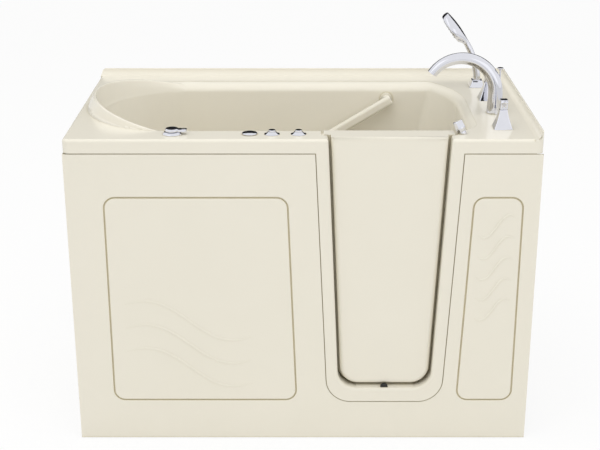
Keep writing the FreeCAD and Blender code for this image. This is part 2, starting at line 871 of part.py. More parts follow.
def door_frame():
    """Flat surround and jamb block below the rim, with the doorway's front edge rounded."""
    block = surround_block(0, FRONT, FRONT + WALL, LIP_Z).fuse(jamb_block(FRONT)).removeSplitter()
    below = box(LEFT, RIGHT, FRONT, BASIN_FRONT, 0, LIP_Z)
    block = block.common(below).cut(doorway())
    return block.makeFillet(DECK_EDGE_R, edges_where(block, on_jamb_edge))


def tub_shell(space):
    """The whole moulding, before its fittings' holes."""
    behind_lip = jamb_block(FRONT + WALL).common(box(LEFT, RIGHT, FRONT, BASIN_FRONT, LIP_Z, DECK_Z))
    shapes = [door_frame(), behind_lip.cut(doorway()), tile_flange(), basin(WALL, DECK_Z - WALL / 2)]
    body = rim_pan().fuse(shapes).cut(space).cut(doorway())
    body = body.cut(u_block(REBATE, SEAL_Y, BASIN_FRONT + WALL, DECK_Z + LIP_DROP))
    return body.fuse(head_bolster()).removeSplitter()


# door


def door_outer_shell():
    """Hollow door body: a rounded face inside the jambs and a wider rim behind the seal."""
    rear = BASIN_FRONT - DOOR_WALL
    face = door_block(0, DOOR_OUT, FLANGE_Y)

    def front_edge(point):
        return near(point.y, DOOR_OUT)

    face = face.makeFillet(DOOR_FACE_R, edges_where(face, front_edge))
    rim = door_block(DOOR_OVERLAP, FLANGE_Y, rear)
    inside_top = DECK_Z - DOOR_WALL
    hollow = door_block(-DOOR_WALL, DOOR_OUT + DOOR_WALL, FLANGE_Y + DOOR_WALL, inside_top)

    def hollow_edge(point):
        return near(point.y, DOOR_OUT + DOOR_WALL)

    hollow = hollow.makeFillet(DOOR_FACE_R - DOOR_WALL, edges_where(hollow, hollow_edge))
    wide = door_block(DOOR_OVERLAP - DOOR_WALL, FLANGE_Y + DOOR_WALL, rear, inside_top)
    return joined([face, rim]).cut(hollow.fuse(wide))


def door_inner_liner():
    """Flat panel that closes the door on the basin side, with the latch spindle's hole."""
    front = BASIN_FRONT - DOOR_WALL
    panel = door_block(DOOR_OVERLAP, front, BASIN_FRONT)
    hole = rod(V(LATCH_X, front, LATCH_Z), V(LATCH_X, BASIN_FRONT, LATCH_Z), SPINDLE_R + RUN_GAP)
    return panel.cut(hole)


def door_seal():
    """Rubber strip on the rebate, pressed by the door's rim."""
    outer = u_block(REBATE - DOOR_WALL, SEAL_Y, FLANGE_Y - SEAT_GAP, DECK_Z - DOOR_WALL)
    return outer.cut(u_block(0, SEAL_Y, FLANGE_Y, DECK_Z))


def sill_weep_plug():
    """Half-round outlet on the sill, in front of the door."""
    centre = V((JAMB_L + JAMB_R) / 2, FRONT + DECK_EDGE_R, SILL_Z)
    plug = rod(centre, V(centre.x, DOOR_OUT - SEAT_GAP, SILL_Z), WEEP_R)
    return plug.common(box(JAMB_L, JAMB_R, FRONT, BASIN_FRONT, SILL_Z, SILL_Z + WEEP_R))


def hinge_knuckle(bottom):
    """One knuckle of a hinge, and its bore."""
    low = V(HINGE_X, HINGE_Y, bottom)
    high = V(HINGE_X, HINGE_Y, bottom + KNUCKLE_H)
    return rod(low, high, KNUCKLE_R), rod(low, high, PIN_R + RUN_GAP)


def hinge_parts(middle):
    """Frame leaf, door leaf and pin of one hinge."""
    step = KNUCKLE_H + KNUCKLE_PLAY
    low = middle - KNUCKLE_H / 2
    beside = HINGE_X + KNUCKLE_R
    y0 = BASIN_FRONT
    y1 = BASIN_FRONT + LEAF_T
    frame_shapes = [box(beside, beside + FRAME_LEAF, y0, y1, low - step, low + step + KNUCKLE_H)]
    frame_bores = []
    for bottom in (low - step, low + step):
        barrel, bore = hinge_knuckle(bottom)
        frame_shapes += [barrel, box(HINGE_X, beside + FRAME_LEAF, y0, y1, bottom, bottom + KNUCKLE_H)]
        frame_bores.append(bore)
    barrel, bore = hinge_knuckle(low)
    door_leaf = box(HINGE_X - DOOR_LEAF, HINGE_X, y0, y1, low, low + KNUCKLE_H)
    pin_low = V(HINGE_X, HINGE_Y, low - step)
    pin = rod(pin_low, pin_low + V(0, 0, 2 * step + KNUCKLE_H), PIN_R)
    return joined(frame_shapes).cut(frame_bores), joined([barrel, door_leaf]).cut(bore), pin


def hinge_screw(x, z):
    """Pan-head screw on a hinge leaf."""
    profile = [(0, 0), (HINGE_SCREW_R, 0), (HINGE_SCREW_R, HINGE_SCREW_H / 2),
               (HINGE_SCREW_R / 2, HINGE_SCREW_H), (0, HINGE_SCREW_H)]
    return turned(profile, V(x, BASIN_FRONT + LEAF_T, z), Y_AXIS)


def door_hinges():
    """The hinge nodes: leaves, pins and screws of both hinges."""
    sets = [hinge_parts(height) for height in HINGE_HEIGHTS]
    step = KNUCKLE_H + KNUCKLE_PLAY
    frame_x = HINGE_X + KNUCKLE_R + FRAME_LEAF / 2
    door_x = HINGE_X - DOOR_LEAF + HINGE_SCREW_EDGE
    return {
        "hinge_frame_leaves": [one[0] for one in sets],
        "hinge_door_leaves": [one[1] for one in sets],
        "hinge_pins": [one[2] for one in sets],
        "hinge_frame_screws": [hinge_screw(frame_x, z + side * step)
                               for z in HINGE_HEIGHTS for side in (-1, 1)],
        "hinge_door_screws": [hinge_screw(door_x + HINGE_SCREW_PITCH * place, z)
                              for z in HINGE_HEIGHTS for place in range(2)],
    }


def latch_cam(cam_y, lever_y):
    """Spindle through the door with its cam."""
    spindle = rod(V(LATCH_X, BASIN_FRONT - DOOR_WALL, LATCH_Z), V(LATCH_X, lever_y, LATCH_Z), SPINDLE_R)
    half = CAM_WIDTH / 2
    corners = [V(LATCH_X - half, cam_y, LATCH_Z), V(LATCH_X + half, cam_y, LATCH_Z),
               V(LATCH_X + half, cam_y, LATCH_Z + CAM_LENGTH), V(LATCH_X - half, cam_y, LATCH_Z + CAM_LENGTH)]
    arm = prism(rounded_wire(corners, [0, 0, CAM_CORNER, CAM_CORNER]), V(0, CAM_T, 0))
    eye = rod(V(LATCH_X, cam_y, LATCH_Z), V(LATCH_X, cam_y + CAM_T, LATCH_Z), half)
    return joined([spindle, arm, eye])


def latch_lever(lever_y):
    """Lever handle: hub on the spindle's end and a waisted grip with a ball end."""
    hub = turned([(0, 0), (LATCH_HUB_R, 0), (LATCH_HUB_R, LATCH_HUB_T - LATCH_BEVEL),
                  (LATCH_HUB_R - LATCH_BEVEL, LATCH_HUB_T), (0, LATCH_HUB_T)],
                 V(LATCH_X, lever_y, LATCH_Z), Y_AXIS)
    middle = V(LATCH_X, lever_y + LATCH_HUB_T / 2, LATCH_Z)
    end = middle - V(0, 0, LATCH_GRIP_L)
    stations = ((middle, LATCH_GRIP_R), ((middle + end) / 2, LATCH_WAIST_R), (end, LATCH_END_R))
    rings = [Part.Wire(Part.makeCircle(radius, point, Z_AXIS)) for point, radius in stations]
    return joined([hub, Part.makeLoft(rings, True), Part.makeSphere(LATCH_END_R, end)])


def latch_keeper(cam_y):
    """Keeper on the shell, hooked over the cam's end when it is turned."""
    lip_y = cam_y + CAM_T + CAM_CLEAR
    root = LATCH_X - CAM_LENGTH - KEEPER_CLEAR
    low = LATCH_Z - KEEPER_H / 2
    high = LATCH_Z + KEEPER_H / 2
    return joined([
        box(root - KEEPER_W, root, BASIN_FRONT, lip_y + KEEPER_T, low, high),
        box(root - KEEPER_W, root + KEEPER_LIP, lip_y, lip_y + KEEPER_T, low, high),
    ])


def latch():
    """Door latch: rose, cam on its spindle, lever handle, and the keeper on the shell."""
    cam_y = BASIN_FRONT + ROSE_T + SEAT_GAP
    lever_y = cam_y + CAM_T + LATCH_STAND
    bore = SPINDLE_R + RUN_GAP
    rose = turned([(bore, 0), (ROSE_R, 0), (ROSE_R - ROSE_T / 2, ROSE_T), (bore, ROSE_T)],
                  V(LATCH_X, BASIN_FRONT, LATCH_Z), Y_AXIS)
    return {
        "latch_rose": [rose],
        "latch_cam": [latch_cam(cam_y, lever_y)],
        "latch_lever": [latch_lever(lever_y)],
        "latch_keeper": [latch_keeper(cam_y)],
    }


# skirts


def groove_section(start, along):
    """Section of a channel with soft shoulders and a round bottom, square to its path."""
    across = along.cross(Y_AXIS)
    half = GROOVE_W / 2
    shoulder = half + GROOVE_SOFT
    soft = GROOVE_SOFT * (1 - math.sqrt(0.5))

    def at(side, deep):
        return start + across * side + Y_AXIS * deep

    straight = GROOVE_DEPTH - half
    return Part.Wire([
        Part.LineSegment(at(-shoulder, -GROOVE_SOFT), at(-shoulder, 0)).toShape(),
        Part.Arc(at(-shoulder, 0), at(-half - soft, soft), at(-half, GROOVE_SOFT)).toShape(),
        Part.LineSegment(at(-half, GROOVE_SOFT), at(-half, straight)).toShape(),
        Part.Arc(at(-half, straight), at(0, GROOVE_DEPTH), at(half, straight)).toShape(),
        Part.LineSegment(at(half, straight), at(half, GROOVE_SOFT)).toShape(),
        Part.Arc(at(half, GROOVE_SOFT), at(half + soft, soft), at(shoulder, 0)).toShape(),
        Part.LineSegment(at(shoulder, 0), at(shoulder, -GROOVE_SOFT)).toShape(),
        Part.LineSegment(at(shoulder, -GROOVE_SOFT), at(-shoulder, -GROOVE_SOFT)).toShape(),
    ])


def panel_groove(corners):
    """Channel that follows the outline of a skirt panel."""
    outline = rounded_wire(corners, [PANEL_R] * len(corners))
    start = outline.Edges[0]
    section = groove_section(start.valueAt(start.FirstParameter), start.tangentAt(start.FirstParameter))
    return outline.makePipeShell([section], True, False)


def wave_bead(start, rise, length, fall):
    """Raised S-shaped bead, thin at both ends, along a half wave of the skirt's face."""
    sections = []
    root = FRONT + BEAD_SINK
    for step in range(BEAD_STEPS + 1):
        share = step / BEAD_STEPS
        x = start.x + length * share
        wave = rise * math.sin(2 * math.pi * share)
        z = start.z + wave - fall * (1 - math.cos(math.pi * share)) / 2
        swell = BEAD_TIP + (1 - BEAD_TIP) * math.sin(math.pi * share) ** BEAD_FULLNESS
        half = BEAD_W / 2 * swell
        low = V(x, root, z - half)
        high = V(x, root, z + half)
        crown = V(x, FRONT - BEAD_H * swell, z)
        arch = Part.Arc(low, crown, high).toShape()
        sections.append(Part.Wire([arch, Part.LineSegment(high, low).toShape()]))
    return Part.makeLoft(sections, True)


def left_panel():
    """Corners of the wide skirt panel's groove."""
    top = LIP_Z - PANEL_TOP
    x0 = LEFT + PANEL_LEFT
    x1 = JAMB_L - PANEL_GAP
    return [V(x0, FRONT, top), V(x1 - PANEL_SLANT, FRONT, top),
            V(x1, FRONT, PANEL_LOW), V(x0, FRONT, PANEL_LOW)]


def right_panel():
    """Corners of the narrow skirt panel's groove."""
    top = LIP_Z - PANEL_TOP
    x0 = JAMB_R + PANEL_SIDE
    x1 = RIGHT - PANEL_RIGHT
    return [V(x0 + PANEL_SLANT, FRONT, top), V(x1, FRONT, top),
            V(x1, FRONT, PANEL_LOW), V(x0, FRONT, PANEL_LOW)]


def skirt_plate(margin, y0, y1):
    """Skirt outline with the doorway left out, grown past the seam by a margin."""
    top = LIP_Z - SEAM + margin
    plate = box(LEFT, RIGHT, y0, y1, SKIRT_LIFT, top)
    return plate.cut(surround_block(SEAM - margin, y0, y1, top + LIP_DROP))


def front_skirt():
    """Front panel: flush face, flange tucked behind the shell, panel grooves and wave beads."""
    rear = FRONT + SKIRT_T
    face = skirt_plate(0, FRONT, rear)
    tuck = skirt_plate(SKIRT_TUCK, rear, rear + SKIRT_T / 2)
    tuck = tuck.cut(skirt_plate(-SKIRT_TUCK, FRONT, rear + SKIRT_T))
    inside = box(LEFT + LIP_CORNER, RIGHT - LIP_CORNER, FRONT, BACK, 0, DECK_Z)
    jamb = u_block(REBATE + WALL + SEAT_GAP, FRONT, BASIN_FRONT, DECK_Z)
    plate = face.fuse(tuck.common(inside).cut(jamb)).removeSplitter()
    plate = plate.cut([panel_groove(left_panel()), panel_groove(right_panel())])
    wave = V(LEFT + WAVE_X, FRONT, LIP_Z - WAVE_TOP)
    ripple = V(RIGHT - RIPPLE_X, FRONT, LIP_Z - RIPPLE_TOP)
    waves = [wave - V(0, 0, WAVE_PITCH * row) for row in range(WAVE_ROWS)]
    ripples = [ripple - V(0, 0, RIPPLE_PITCH * row) for row in range(RIPPLE_ROWS)]
    beads = [wave_bead(start, WAVE_RISE, WAVE_LENGTH, WAVE_FALL) for start in waves]
    beads += [wave_bead(start, -RIPPLE_RISE, RIPPLE_LENGTH, -RIPPLE_FALL) for start in ripples]
    return plate.fuse(beads)


def end_skirt():
    """Plain panel that closes the head end."""
    return box(LEFT, LEFT + SKIRT_T, FRONT + SKIRT_T + SEAM, BACK, SKIRT_LIFT, LIP_Z - SEAM)


def skirt_brackets():
    """Angle brackets from the frame to the backs of the skirts."""
    rear = FRONT + SKIRT_T
    rail = RAIL_Y[0] - TUBE / 2
    side = LEFT + SKIRT_T
    wide = BRACKET_W / 2
    foot_top = RAIL_LOW + BRACKET_T
    brackets = []
    for x in (LEFT + BRACKET_END, JAMB_L - BRACKET_JAMB, RIGHT - BRACKET_TAP):
        foot = box(x - wide, x + wide, rear, rail, RAIL_LOW, foot_top)
        web = box(x - wide, x + wide, rear, rear + BRACKET_T, RAIL_LOW, RAIL_TOP)
        brackets.append(joined([foot, web]))
    for y in (FRONT / 2, BACK / 2):
        foot = box(side, LEFT + FRAME_END, y - wide, y + wide, RAIL_LOW, foot_top)
        web = box(side, side + BRACKET_T, y - wide, y + wide, RAIL_LOW, RAIL_TOP)
        brackets.append(joined([foot, web]))
    return brackets


# frame


def square_tube(x0, x1, y0, y1, z0, z1, axis):
    """Hollow square tube along one axis."""
    inset = {"x": (0, 1, 1), "y": (1, 0, 1), "z": (1, 1, 0)}[axis]
    dx, dy, dz = (TUBE_WALL * share for share in inset)
    return box(x0, x1, y0, y1, z0, z1).cut(box(x0 + dx, x1 - dx, y0 + dy, y1 - dy, z0 + dz, z1 - dz))


def post(x, y, top):
    """Upright square tube on a rail."""
    half = TUBE / 2
    return square_tube(x - half, x + half, y - half, y + half, RAIL_TOP, top, "z")


def frame_members():
    """Rails, cross rails, and the uprights under the deck and the seat."""
    half = TUBE / 2
    x0 = LEFT + FRAME_END
    x1 = RIGHT - FRAME_END
    seat_posts = (PUMP_REAR - MOTOR_L + SADDLE_INSET, PUMP.x)
    crossings = (x0 + half, *seat_posts, CROSS_SEAT, CROSS_FOOT, x1 - half)
    rails = [square_tube(x0, x1, y - half, y + half, RAIL_LOW, RAIL_TOP, "x") for y in RAIL_Y]
    cross = [square_tube(x - half, x + half, RAIL_Y[0] + half, RAIL_Y[1] - half, RAIL_LOW, RAIL_TOP, "y")
             for x in crossings]
    deck_top = DECK_Z - WALL - SEAT_GAP
    seat_top = SEAT_Z - WALL - SEAT_GAP
    uprights = [post(x, y, deck_top) for y in RAIL_Y for x in (x0 + half, x1 - half)]
    uprights.append(post((DIVERTER.x + AIR_KNOB.x) / 2, RAIL_Y[0], deck_top))
    seat_y = BACK - SEAT_POST_INSET
    uprights += [post(x, y, seat_top) for x in seat_posts for y in (-seat_y, seat_y)]
    return {"frame_long_rails": rails, "frame_cross_rails": cross, "frame_uprights": uprights}


def hexagon(radius, height, base):
    """Six-sided prism, as wide from its axis to its corners as the radius."""
    width = 2 * radius * math.cos(math.pi / HEX_SIDES)
    return prism(facet_wire(width, 0, HEX_SIDES), V(0, 0, height)).translated(base)


def frame_feet():
    """Levelling feet with their studs, and the lock nuts under the rails."""
    profile = [(0, 0), (FOOT_R, 0), (FOOT_R, FOOT_H / 2), (FOOT_R / 2, FOOT_H), (STUD_R, FOOT_H),
               (STUD_R, RAIL_LOW), (0, RAIL_LOW)]
    places = [V(x, y, 0) for y in RAIL_Y for x in (LEFT + FOOT_END, SEAT_X / 2, RIGHT - FOOT_END)]
    under = V(0, 0, RAIL_LOW - NUT_H)
    nuts = [hexagon(NUT_R, NUT_H, place + under).cut(rod(place, place + V(0, 0, RAIL_LOW), STUD_R))
            for place in places]
    return {"leveling_feet": [turned(profile, place) for place in places], "foot_lock_nuts": nuts}


# grab bar


def behind_back_wall():
    """Everything behind the basin's leaning back wall."""
    corners = [V(LEFT, back_wall_y(0), 0), V(LEFT, back_wall_y(DECK_Z), DECK_Z),
               V(LEFT, BACK, DECK_Z), V(LEFT, BACK, 0)]
    return prism(Part.makePolygon(corners + corners[:1]), V(LENGTH, 0, 0))


def grab_bar():
    """Moulded bar across the back wall, with a post at each end."""
    ends = []
    for inset, drop in ((BAR_HIGH_INSET, BAR_HIGH_DROP), (BAR_LOW_INSET, BAR_LOW_DROP)):
        z = DECK_Z - drop
        ends.append(V(RIGHT - inset, back_wall_y(z) - BAR_STAND, z))
    high, low = ends
    length = (low - high).Length + BAR_W
    plan = rounded_plan(-BAR_W / 2, BAR_W / 2, -BAR_D / 2, BAR_D / 2, 0, BAR_ROUND)
    bar = prism(plan, V(0, 0, length))

    def end_edge(point):
        return near(point.z, 0) or near(point.z, length)

    bar = bar.makeFillet(BAR_END_R, edges_where(bar, end_edge))
    forward = (low - high).normalize()
    side = Y_AXIS.cross(forward).normalize()
    depth = forward.cross(side).normalize()
    start = high - forward * (BAR_W / 2)
    turn = FreeCAD.Matrix(side.x, depth.x, forward.x, start.x, side.y, depth.y, forward.y, start.y,
                          side.z, depth.z, forward.z, start.z, 0, 0, 0, 1)
    shapes = [bar.transformed(turn)]
    for end in ends:
        wall = end + V(0, 2 * BAR_STAND, 0)
        shapes.append(rod(end, wall, BAR_POST_R))
        shapes.append(rod(end + V(0, BAR_STAND - PAD_T, 0), wall, BAR_POST_R + PAD_T))
    return joined(shapes).cut(behind_back_wall())


# jets and pump


def jet_body(base, out):
    """Jet body through the wall, with the block for its pipes behind."""
    shank_r = JET_HOLE_R - SEAT_GAP
    flange_r = JET_TRIM_R - JET_TRIM_LIP
    bore = JET_NOZZLE_R + RUN_GAP
    body = turned([(0, -JET_TAIL), (shank_r, -JET_TAIL), (shank_r, 0), (flange_r, 0), (flange_r, JET_SEAT_T),
                   (bore, JET_SEAT_T), (bore, -NOZZLE_L), (0, -NOZZLE_L)], base, out)
    half = JET_BLOCK / 2
    low = JET_BLOCK_LAP - JET_TAIL - JET_BLOCK
    block = box(-half, half, -half, half, low, low + JET_BLOCK)
    return joined([body, placed(block, base, out)])


def jet_nut(base, out):
    """Lock nut behind the wall."""
    low = -WALL - SEAT_GAP - NUT_H
    nut = hexagon(JET_NUT_R, NUT_H, V(0, 0, low)).cut(rod(V(0, 0, low), V(0, 0, 0), JET_HOLE_R))
    return placed(nut, base, out)


def jet_ring(base, out):
    """Trim ring over the body's flange."""
    flange_r = JET_TRIM_R - JET_TRIM_LIP
    inner = JET_NOZZLE_R + SEAT_GAP
    profile = [(inner, JET_SEAT_T), (flange_r, JET_SEAT_T), (flange_r, 0), (JET_TRIM_R, 0),
               (JET_TRIM_R, JET_SEAT_T), (flange_r, JET_TRIM_T), (inner, JET_TRIM_T - JET_SEAT_T)]
    return turned(profile, base, out)


def jet_nozzle(base, out):
    """Nozzle with its finger vanes."""
    rear = SEAT_GAP - NOZZLE_L
    rim = JET_NOSE / 3
    nozzle = turned([(JET_MOUTH_R, rear), (JET_NOZZLE_R, rear), (JET_NOZZLE_R, rim), (JET_NOSE_R, JET_NOSE),
                     (JET_NOSE_R - JET_NOSE_WALL, JET_NOSE), (JET_MOUTH_R, JET_NOSE / 2)], base, out)
    vane = box(-JET_VANE_T / 2, JET_VANE_T / 2, JET_NOSE_R, JET_NOZZLE_R - 1, 0, JET_NOSE - 1)
    vanes = [vane.rotated(V(0, 0, 0), Z_AXIS, 360 * turn / JET_VANES) for turn in range(JET_VANES)]
    return joined([nozzle] + [placed(shape, base, out) for shape in vanes])


def jet_places():
    """Name, wall point and direction into the basin of each jet."""
    lean = V(0, -1, BACK_LEAN).normalize()
    z = SEAT_Z + BACK_JET_RISE
    places = []
    for name, side in (("back_head", -1), ("back_seat", 1)):
        x = PUMP_OUTLET.x + side * BACK_JET_PITCH / 2
        places.append((name, V(x, back_wall_y(z), z), lean))
    for name, side in (("foot_front", -1), ("foot_back", 1)):
        places.append((name, V(SEAT_X, PUMP.y + side * FOOT_JET_Y, FOOT_JET_Z), X_AXIS))
    return places


def jets():
    """All jet nodes; each nozzle turns by itself."""
    places = jet_places()
    nodes = {
        "jet_bodies": [jet_body(base, out) for name, base, out in places],
        "jet_lock_nuts": [jet_nut(base, out) for name, base, out in places],
        "jet_trim_rings": [jet_ring(base, out) for name, base, out in places],
    }
    nodes.update({"jet_nozzle_" + name: [jet_nozzle(base, out)] for name, base, out in places})
    return nodes


def suction():
    """Suction body through the seat riser, its slotted cover and the pipe back to the pump."""
    face = V(SEAT_X, PUMP.y, PUMP.z)
    shank_r = SUCTION_R + SUCTION_WALL
    flange_r = SUCTION_COVER_R - SUCTION_COVER_LIP - 1
    body = turned([(SUCTION_R, -SUCTION_TAIL), (shank_r, -SUCTION_TAIL), (shank_r, 0), (flange_r, 0),
                   (flange_r, SUCTION_FLANGE_T), (SUCTION_R, SUCTION_FLANGE_T)], face, X_AXIS)
    lip_r = SUCTION_COVER_R - SUCTION_COVER_LIP
    shoulder = SUCTION_COVER_R - SUCTION_COVER_BEVEL
    inside = SUCTION_COVER_T - SUCTION_COVER_WALL
    cover = turned([(0, SUCTION_COVER_T), (shoulder, SUCTION_COVER_T), (SUCTION_COVER_R, 0), (lip_r, 0),
                    (lip_r, SUCTION_FLANGE_T), (shoulder, inside), (0, inside)], face, X_AXIS)
    slots = []
    for ring in range(SLOT_RINGS):
        for point in ring_places(SLOT_FIRST + SLOT_STEP * ring, SLOT_PITCH):
            slot = rod(point, point + V(0, 0, 2 * SUCTION_COVER_T), SLOT_R)
            slots.append(placed(slot, face, X_AXIS))
    pipe = tube(PUMP + V(PUMP_INLET, 0, 0), face - V(SUCTION_TAIL, 0, 0),
                SUCTION_R + SUCTION_PIPE_WALL, SUCTION_R)
    return {"suction_body": [body], "suction_cover": [cover.cut(slots)], "suction_pipe": [pipe]}


def pump_volute():
    """Pump casing: inlet neck at the front, round chamber, and the outlet on top."""
    rear = -PUMP_BODY_L
    chamber_r = PUMP_BODY_R - PUMP_WALL
    neck_r = SUCTION_R + PUMP_NECK_WALL
    bore = SHAFT_R + RUN_GAP
    profile = [(SUCTION_R, PUMP_INLET), (neck_r, PUMP_INLET), (neck_r, PUMP_BEVEL),
               (PUMP_BODY_R - PUMP_BEVEL, 0), (PUMP_BODY_R, -PUMP_BEVEL), (PUMP_BODY_R, rear), (bore, rear),
               (bore, rear + PUMP_BACK_WALL), (chamber_r, rear + PUMP_BACK_WALL),
               (chamber_r, -PUMP_WALL), (SUCTION_R, -PUMP_WALL)]
    casing = turned(profile, PUMP, X_AXIS)
    foot = V(PUMP_OUTLET.x, PUMP_OUTLET.y, PUMP.z)
    chamber = rod(PUMP + V(rear + PUMP_BACK_WALL, 0, 0), PUMP - V(PUMP_WALL, 0, 0), chamber_r)
    chimney = tube(foot, PUMP_OUTLET, PIPE_R + PUMP_OUTLET_WALL, PIPE_R).cut(chamber)
    return casing.cut(rod(foot, PUMP_OUTLET, PIPE_R)).fuse(chimney).removeSplitter()


def pump_impeller():
    """Impeller disc with its blades, on the motor's shaft."""
    tail = -PUMP_BODY_L - SHAFT_IN
    disc = IMPELLER_SETBACK - PUMP_BODY_L
    front = disc + IMPELLER_DISC
    nose = -IMPELLER_SETBACK
    rim = PUMP_BODY_R - PUMP_WALL - IMPELLER_CLEAR
    half = BLADE_T / 2
    wheel = turned([(0, tail), (SHAFT_R, tail), (SHAFT_R, disc), (rim, disc), (rim, front),
                    (IMPELLER_HUB_R, front), (IMPELLER_NOSE_R, nose), (0, nose)], PUMP, X_AXIS)
    blade = box(disc + IMPELLER_DISC / 2, nose - IMPELLER_DISC,
                IMPELLER_NOSE_R - half, rim - half, -half, half)
    blades = [blade.rotated(V(0, 0, 0), X_AXIS, 360 * turn / BLADES) for turn in range(BLADES)]
    return joined([wheel] + [shape.translated(PUMP) for shape in blades])


def pump_motor():
    """Finned motor behind the pump, without fins where its saddle holds it."""
    front = -PUMP_BODY_L - SEAT_GAP
    end = front - MOTOR_L
    bore = SHAFT_R + RUN_GAP
    stop = -PUMP_BODY_L - SHAFT_IN - SEAT_GAP
    casing = turned([(bore, front), (MOTOR_R, front), (MOTOR_R, end),
                     (MOTOR_R - MOTOR_BEVEL, end - MOTOR_BEVEL), (0, end - MOTOR_BEVEL),
                     (0, stop), (bore, stop)], PUMP, X_AXIS)
    fin = box(end + FIN_END, front - FIN_END, MOTOR_R - FIN_ROOT, MOTOR_R + FIN_OUT, -FIN_T / 2, FIN_T / 2)
    fins = [fin.rotated(V(0, 0, 0), X_AXIS, 360 * turn / FINS).translated(PUMP)
            for turn in range(FINS) if abs(turn - FIN_LOWEST) > 1]
    return joined([casing] + fins)


def pump_base():
    """Foot on the cross rails with a saddle under the motor and a stand under the pump."""
    x0 = PUMP_REAR - MOTOR_L
    half_foot = PUMP_FOOT_W / 2
    half = SADDLE_W / 2
    saddle_x = x0 + SADDLE_INSET
    foot = box(x0, PUMP.x + STAND_INSET, PUMP.y - half_foot, PUMP.y + half_foot,
               RAIL_TOP, RAIL_TOP + PUMP_FOOT_T)
    saddle = box(saddle_x, saddle_x + SADDLE_L, PUMP.y - half, PUMP.y + half, RAIL_TOP, PUMP.z)
    stand = box(PUMP_REAR + STAND_INSET, PUMP.x - STAND_INSET, PUMP.y - half, PUMP.y + half,
                RAIL_TOP, PUMP.z)
    rear = V(PUMP_REAR, PUMP.y, PUMP.z)
    hollows = [rod(rear - V(2 * MOTOR_L, 0, 0), rear, MOTOR_R + FIN_OUT + SEAT_GAP),
               rod(rear, PUMP + V(PUMP_INLET, 0, 0), PUMP_BODY_R + SEAT_GAP)]
    return joined([foot, saddle, stand]).cut(hollows)


def pump():
    """Jet pump nodes."""
    return {"pump_volute": [pump_volute()], "pump_impeller": [pump_impeller()],
            "pump_motor": [pump_motor()], "pump_base": [pump_base()]}


def pressure_pipe():
    """Rigid pipework from the pump to the blocks behind the jets."""
    level = PUMP_OUTLET.z + PIPE_LEVEL
    half = JET_BLOCK / 2
    behind = JET_BLOCK_LAP - JET_TAIL - half
    back_a, back_b, foot_a, foot_b = [base + out * behind for name, base, out in jet_places()]
    tee = V(PUMP_OUTLET.x, PUMP_OUTLET.y, level)
    low_corner = V(foot_a.x, PUMP_OUTLET.y, level)
    foot_tee = V(foot_a.x, PUMP_OUTLET.y, foot_a.z)
    back_low = V(PUMP_OUTLET.x, back_a.y, level)
    back_tee = V(PUMP_OUTLET.x, back_a.y, back_a.z)
    runs = [(PUMP_OUTLET, tee), (tee, low_corner), (low_corner, foot_tee),
            (tee, back_low), (back_low, back_tee),
            (foot_a + V(0, half, 0), foot_b - V(0, half, 0)),
            (back_a + V(half, 0, 0), back_b - V(half, 0, 0))]
    elbows = (tee, low_corner, foot_tee, back_low, back_tee)
    shapes = [rod(start, end, PIPE_R) for start, end in runs]
    return joined(shapes + [Part.makeSphere(PIPE_R + PIPE_ELBOW, point) for point in elbows])


# waste


def drain_flange():
    """Drain flange in the floor: cup, bridge with ports, and the guide for the stopper's stem."""
    cup = STOPPER_R - DRAIN_BEVEL
    shank_r = cup + DRAIN_WALL
    guide = STOPPER_STEM_R + RUN_GAP
    bridge = BRIDGE_TOP + BRIDGE_T
    flange = turned([(guide, -BRIDGE_TOP - BRIDGE_BOSS), (BRIDGE_BOSS_R, -BRIDGE_TOP - BRIDGE_BOSS),
                     (BRIDGE_BOSS_R, -bridge), (cup, -bridge), (cup, -DRAIN_DEPTH), (shank_r, -DRAIN_DEPTH),
                     (shank_r, 0), (DRAIN_R, 0), (DRAIN_R - DRAIN_BEVEL, DRAIN_LIP), (cup + 2, 1),
                     (cup, -DRAIN_LIP), (cup, -BRIDGE_TOP), (guide, -BRIDGE_TOP)], DRAIN)
    ports = []
    for point in ring_places(PORT_RING, 2 * math.pi * PORT_RING / PORTS):
        ports.append(rod(DRAIN + point - V(0, 0, DRAIN_DEPTH), DRAIN + point, PORT_R))
    return flange.cut(ports)


def drain_stopper():
    """Lifting stopper with its stem."""
    low = 1 + SEAT_GAP
    return turned([(0, -STEM_L), (STOPPER_STEM_R, -STEM_L), (STOPPER_STEM_R, 1),
                   (STOPPER_R - STOPPER_STEP, low), (STOPPER_R, low + 1), (STOPPER_R, STOPPER_RIM),
                   (STOPPER_R - STOPPER_RIM, STOPPER_TOP - 1), (0, STOPPER_TOP)], DRAIN)


def waste_elbow():
    """Cup under the drain, and the pipe out at the tap end with a spigot for the house waste."""
    top = DRAIN - V(0, 0, WALL + SEAT_GAP)
    bend = V(DRAIN.x, DRAIN.y, WASTE_Z)
    outlet = V(RIGHT - WASTE_END, DRAIN.y, WASTE_Z)
    shoulder = outlet - V(SPIGOT_L, 0, 0)
    socket_r = STOPPER_R - DRAIN_BEVEL + DRAIN_WALL + SEAT_GAP
    socket_low = DRAIN - V(0, 0, DRAIN_DEPTH + 2)
    cup_r = socket_r + WASTE_CUP_WALL
    inner = WASTE_R - PIPE_WALL
    elbow = joined([rod(top, bend, cup_r), Part.makeSphere(cup_r, bend), rod(bend, shoulder, WASTE_R),
                    rod(shoulder, outlet, WASTE_R - SPIGOT_STEP)])
    floor = box(LEFT, RIGHT, FRONT, BACK, -DECK_Z, WASTE_CLEAR)
    return elbow.cut([rod(top, socket_low, socket_r), rod(top, bend, inner), Part.makeSphere(inner, bend),
                      rod(bend, outlet, inner), floor])


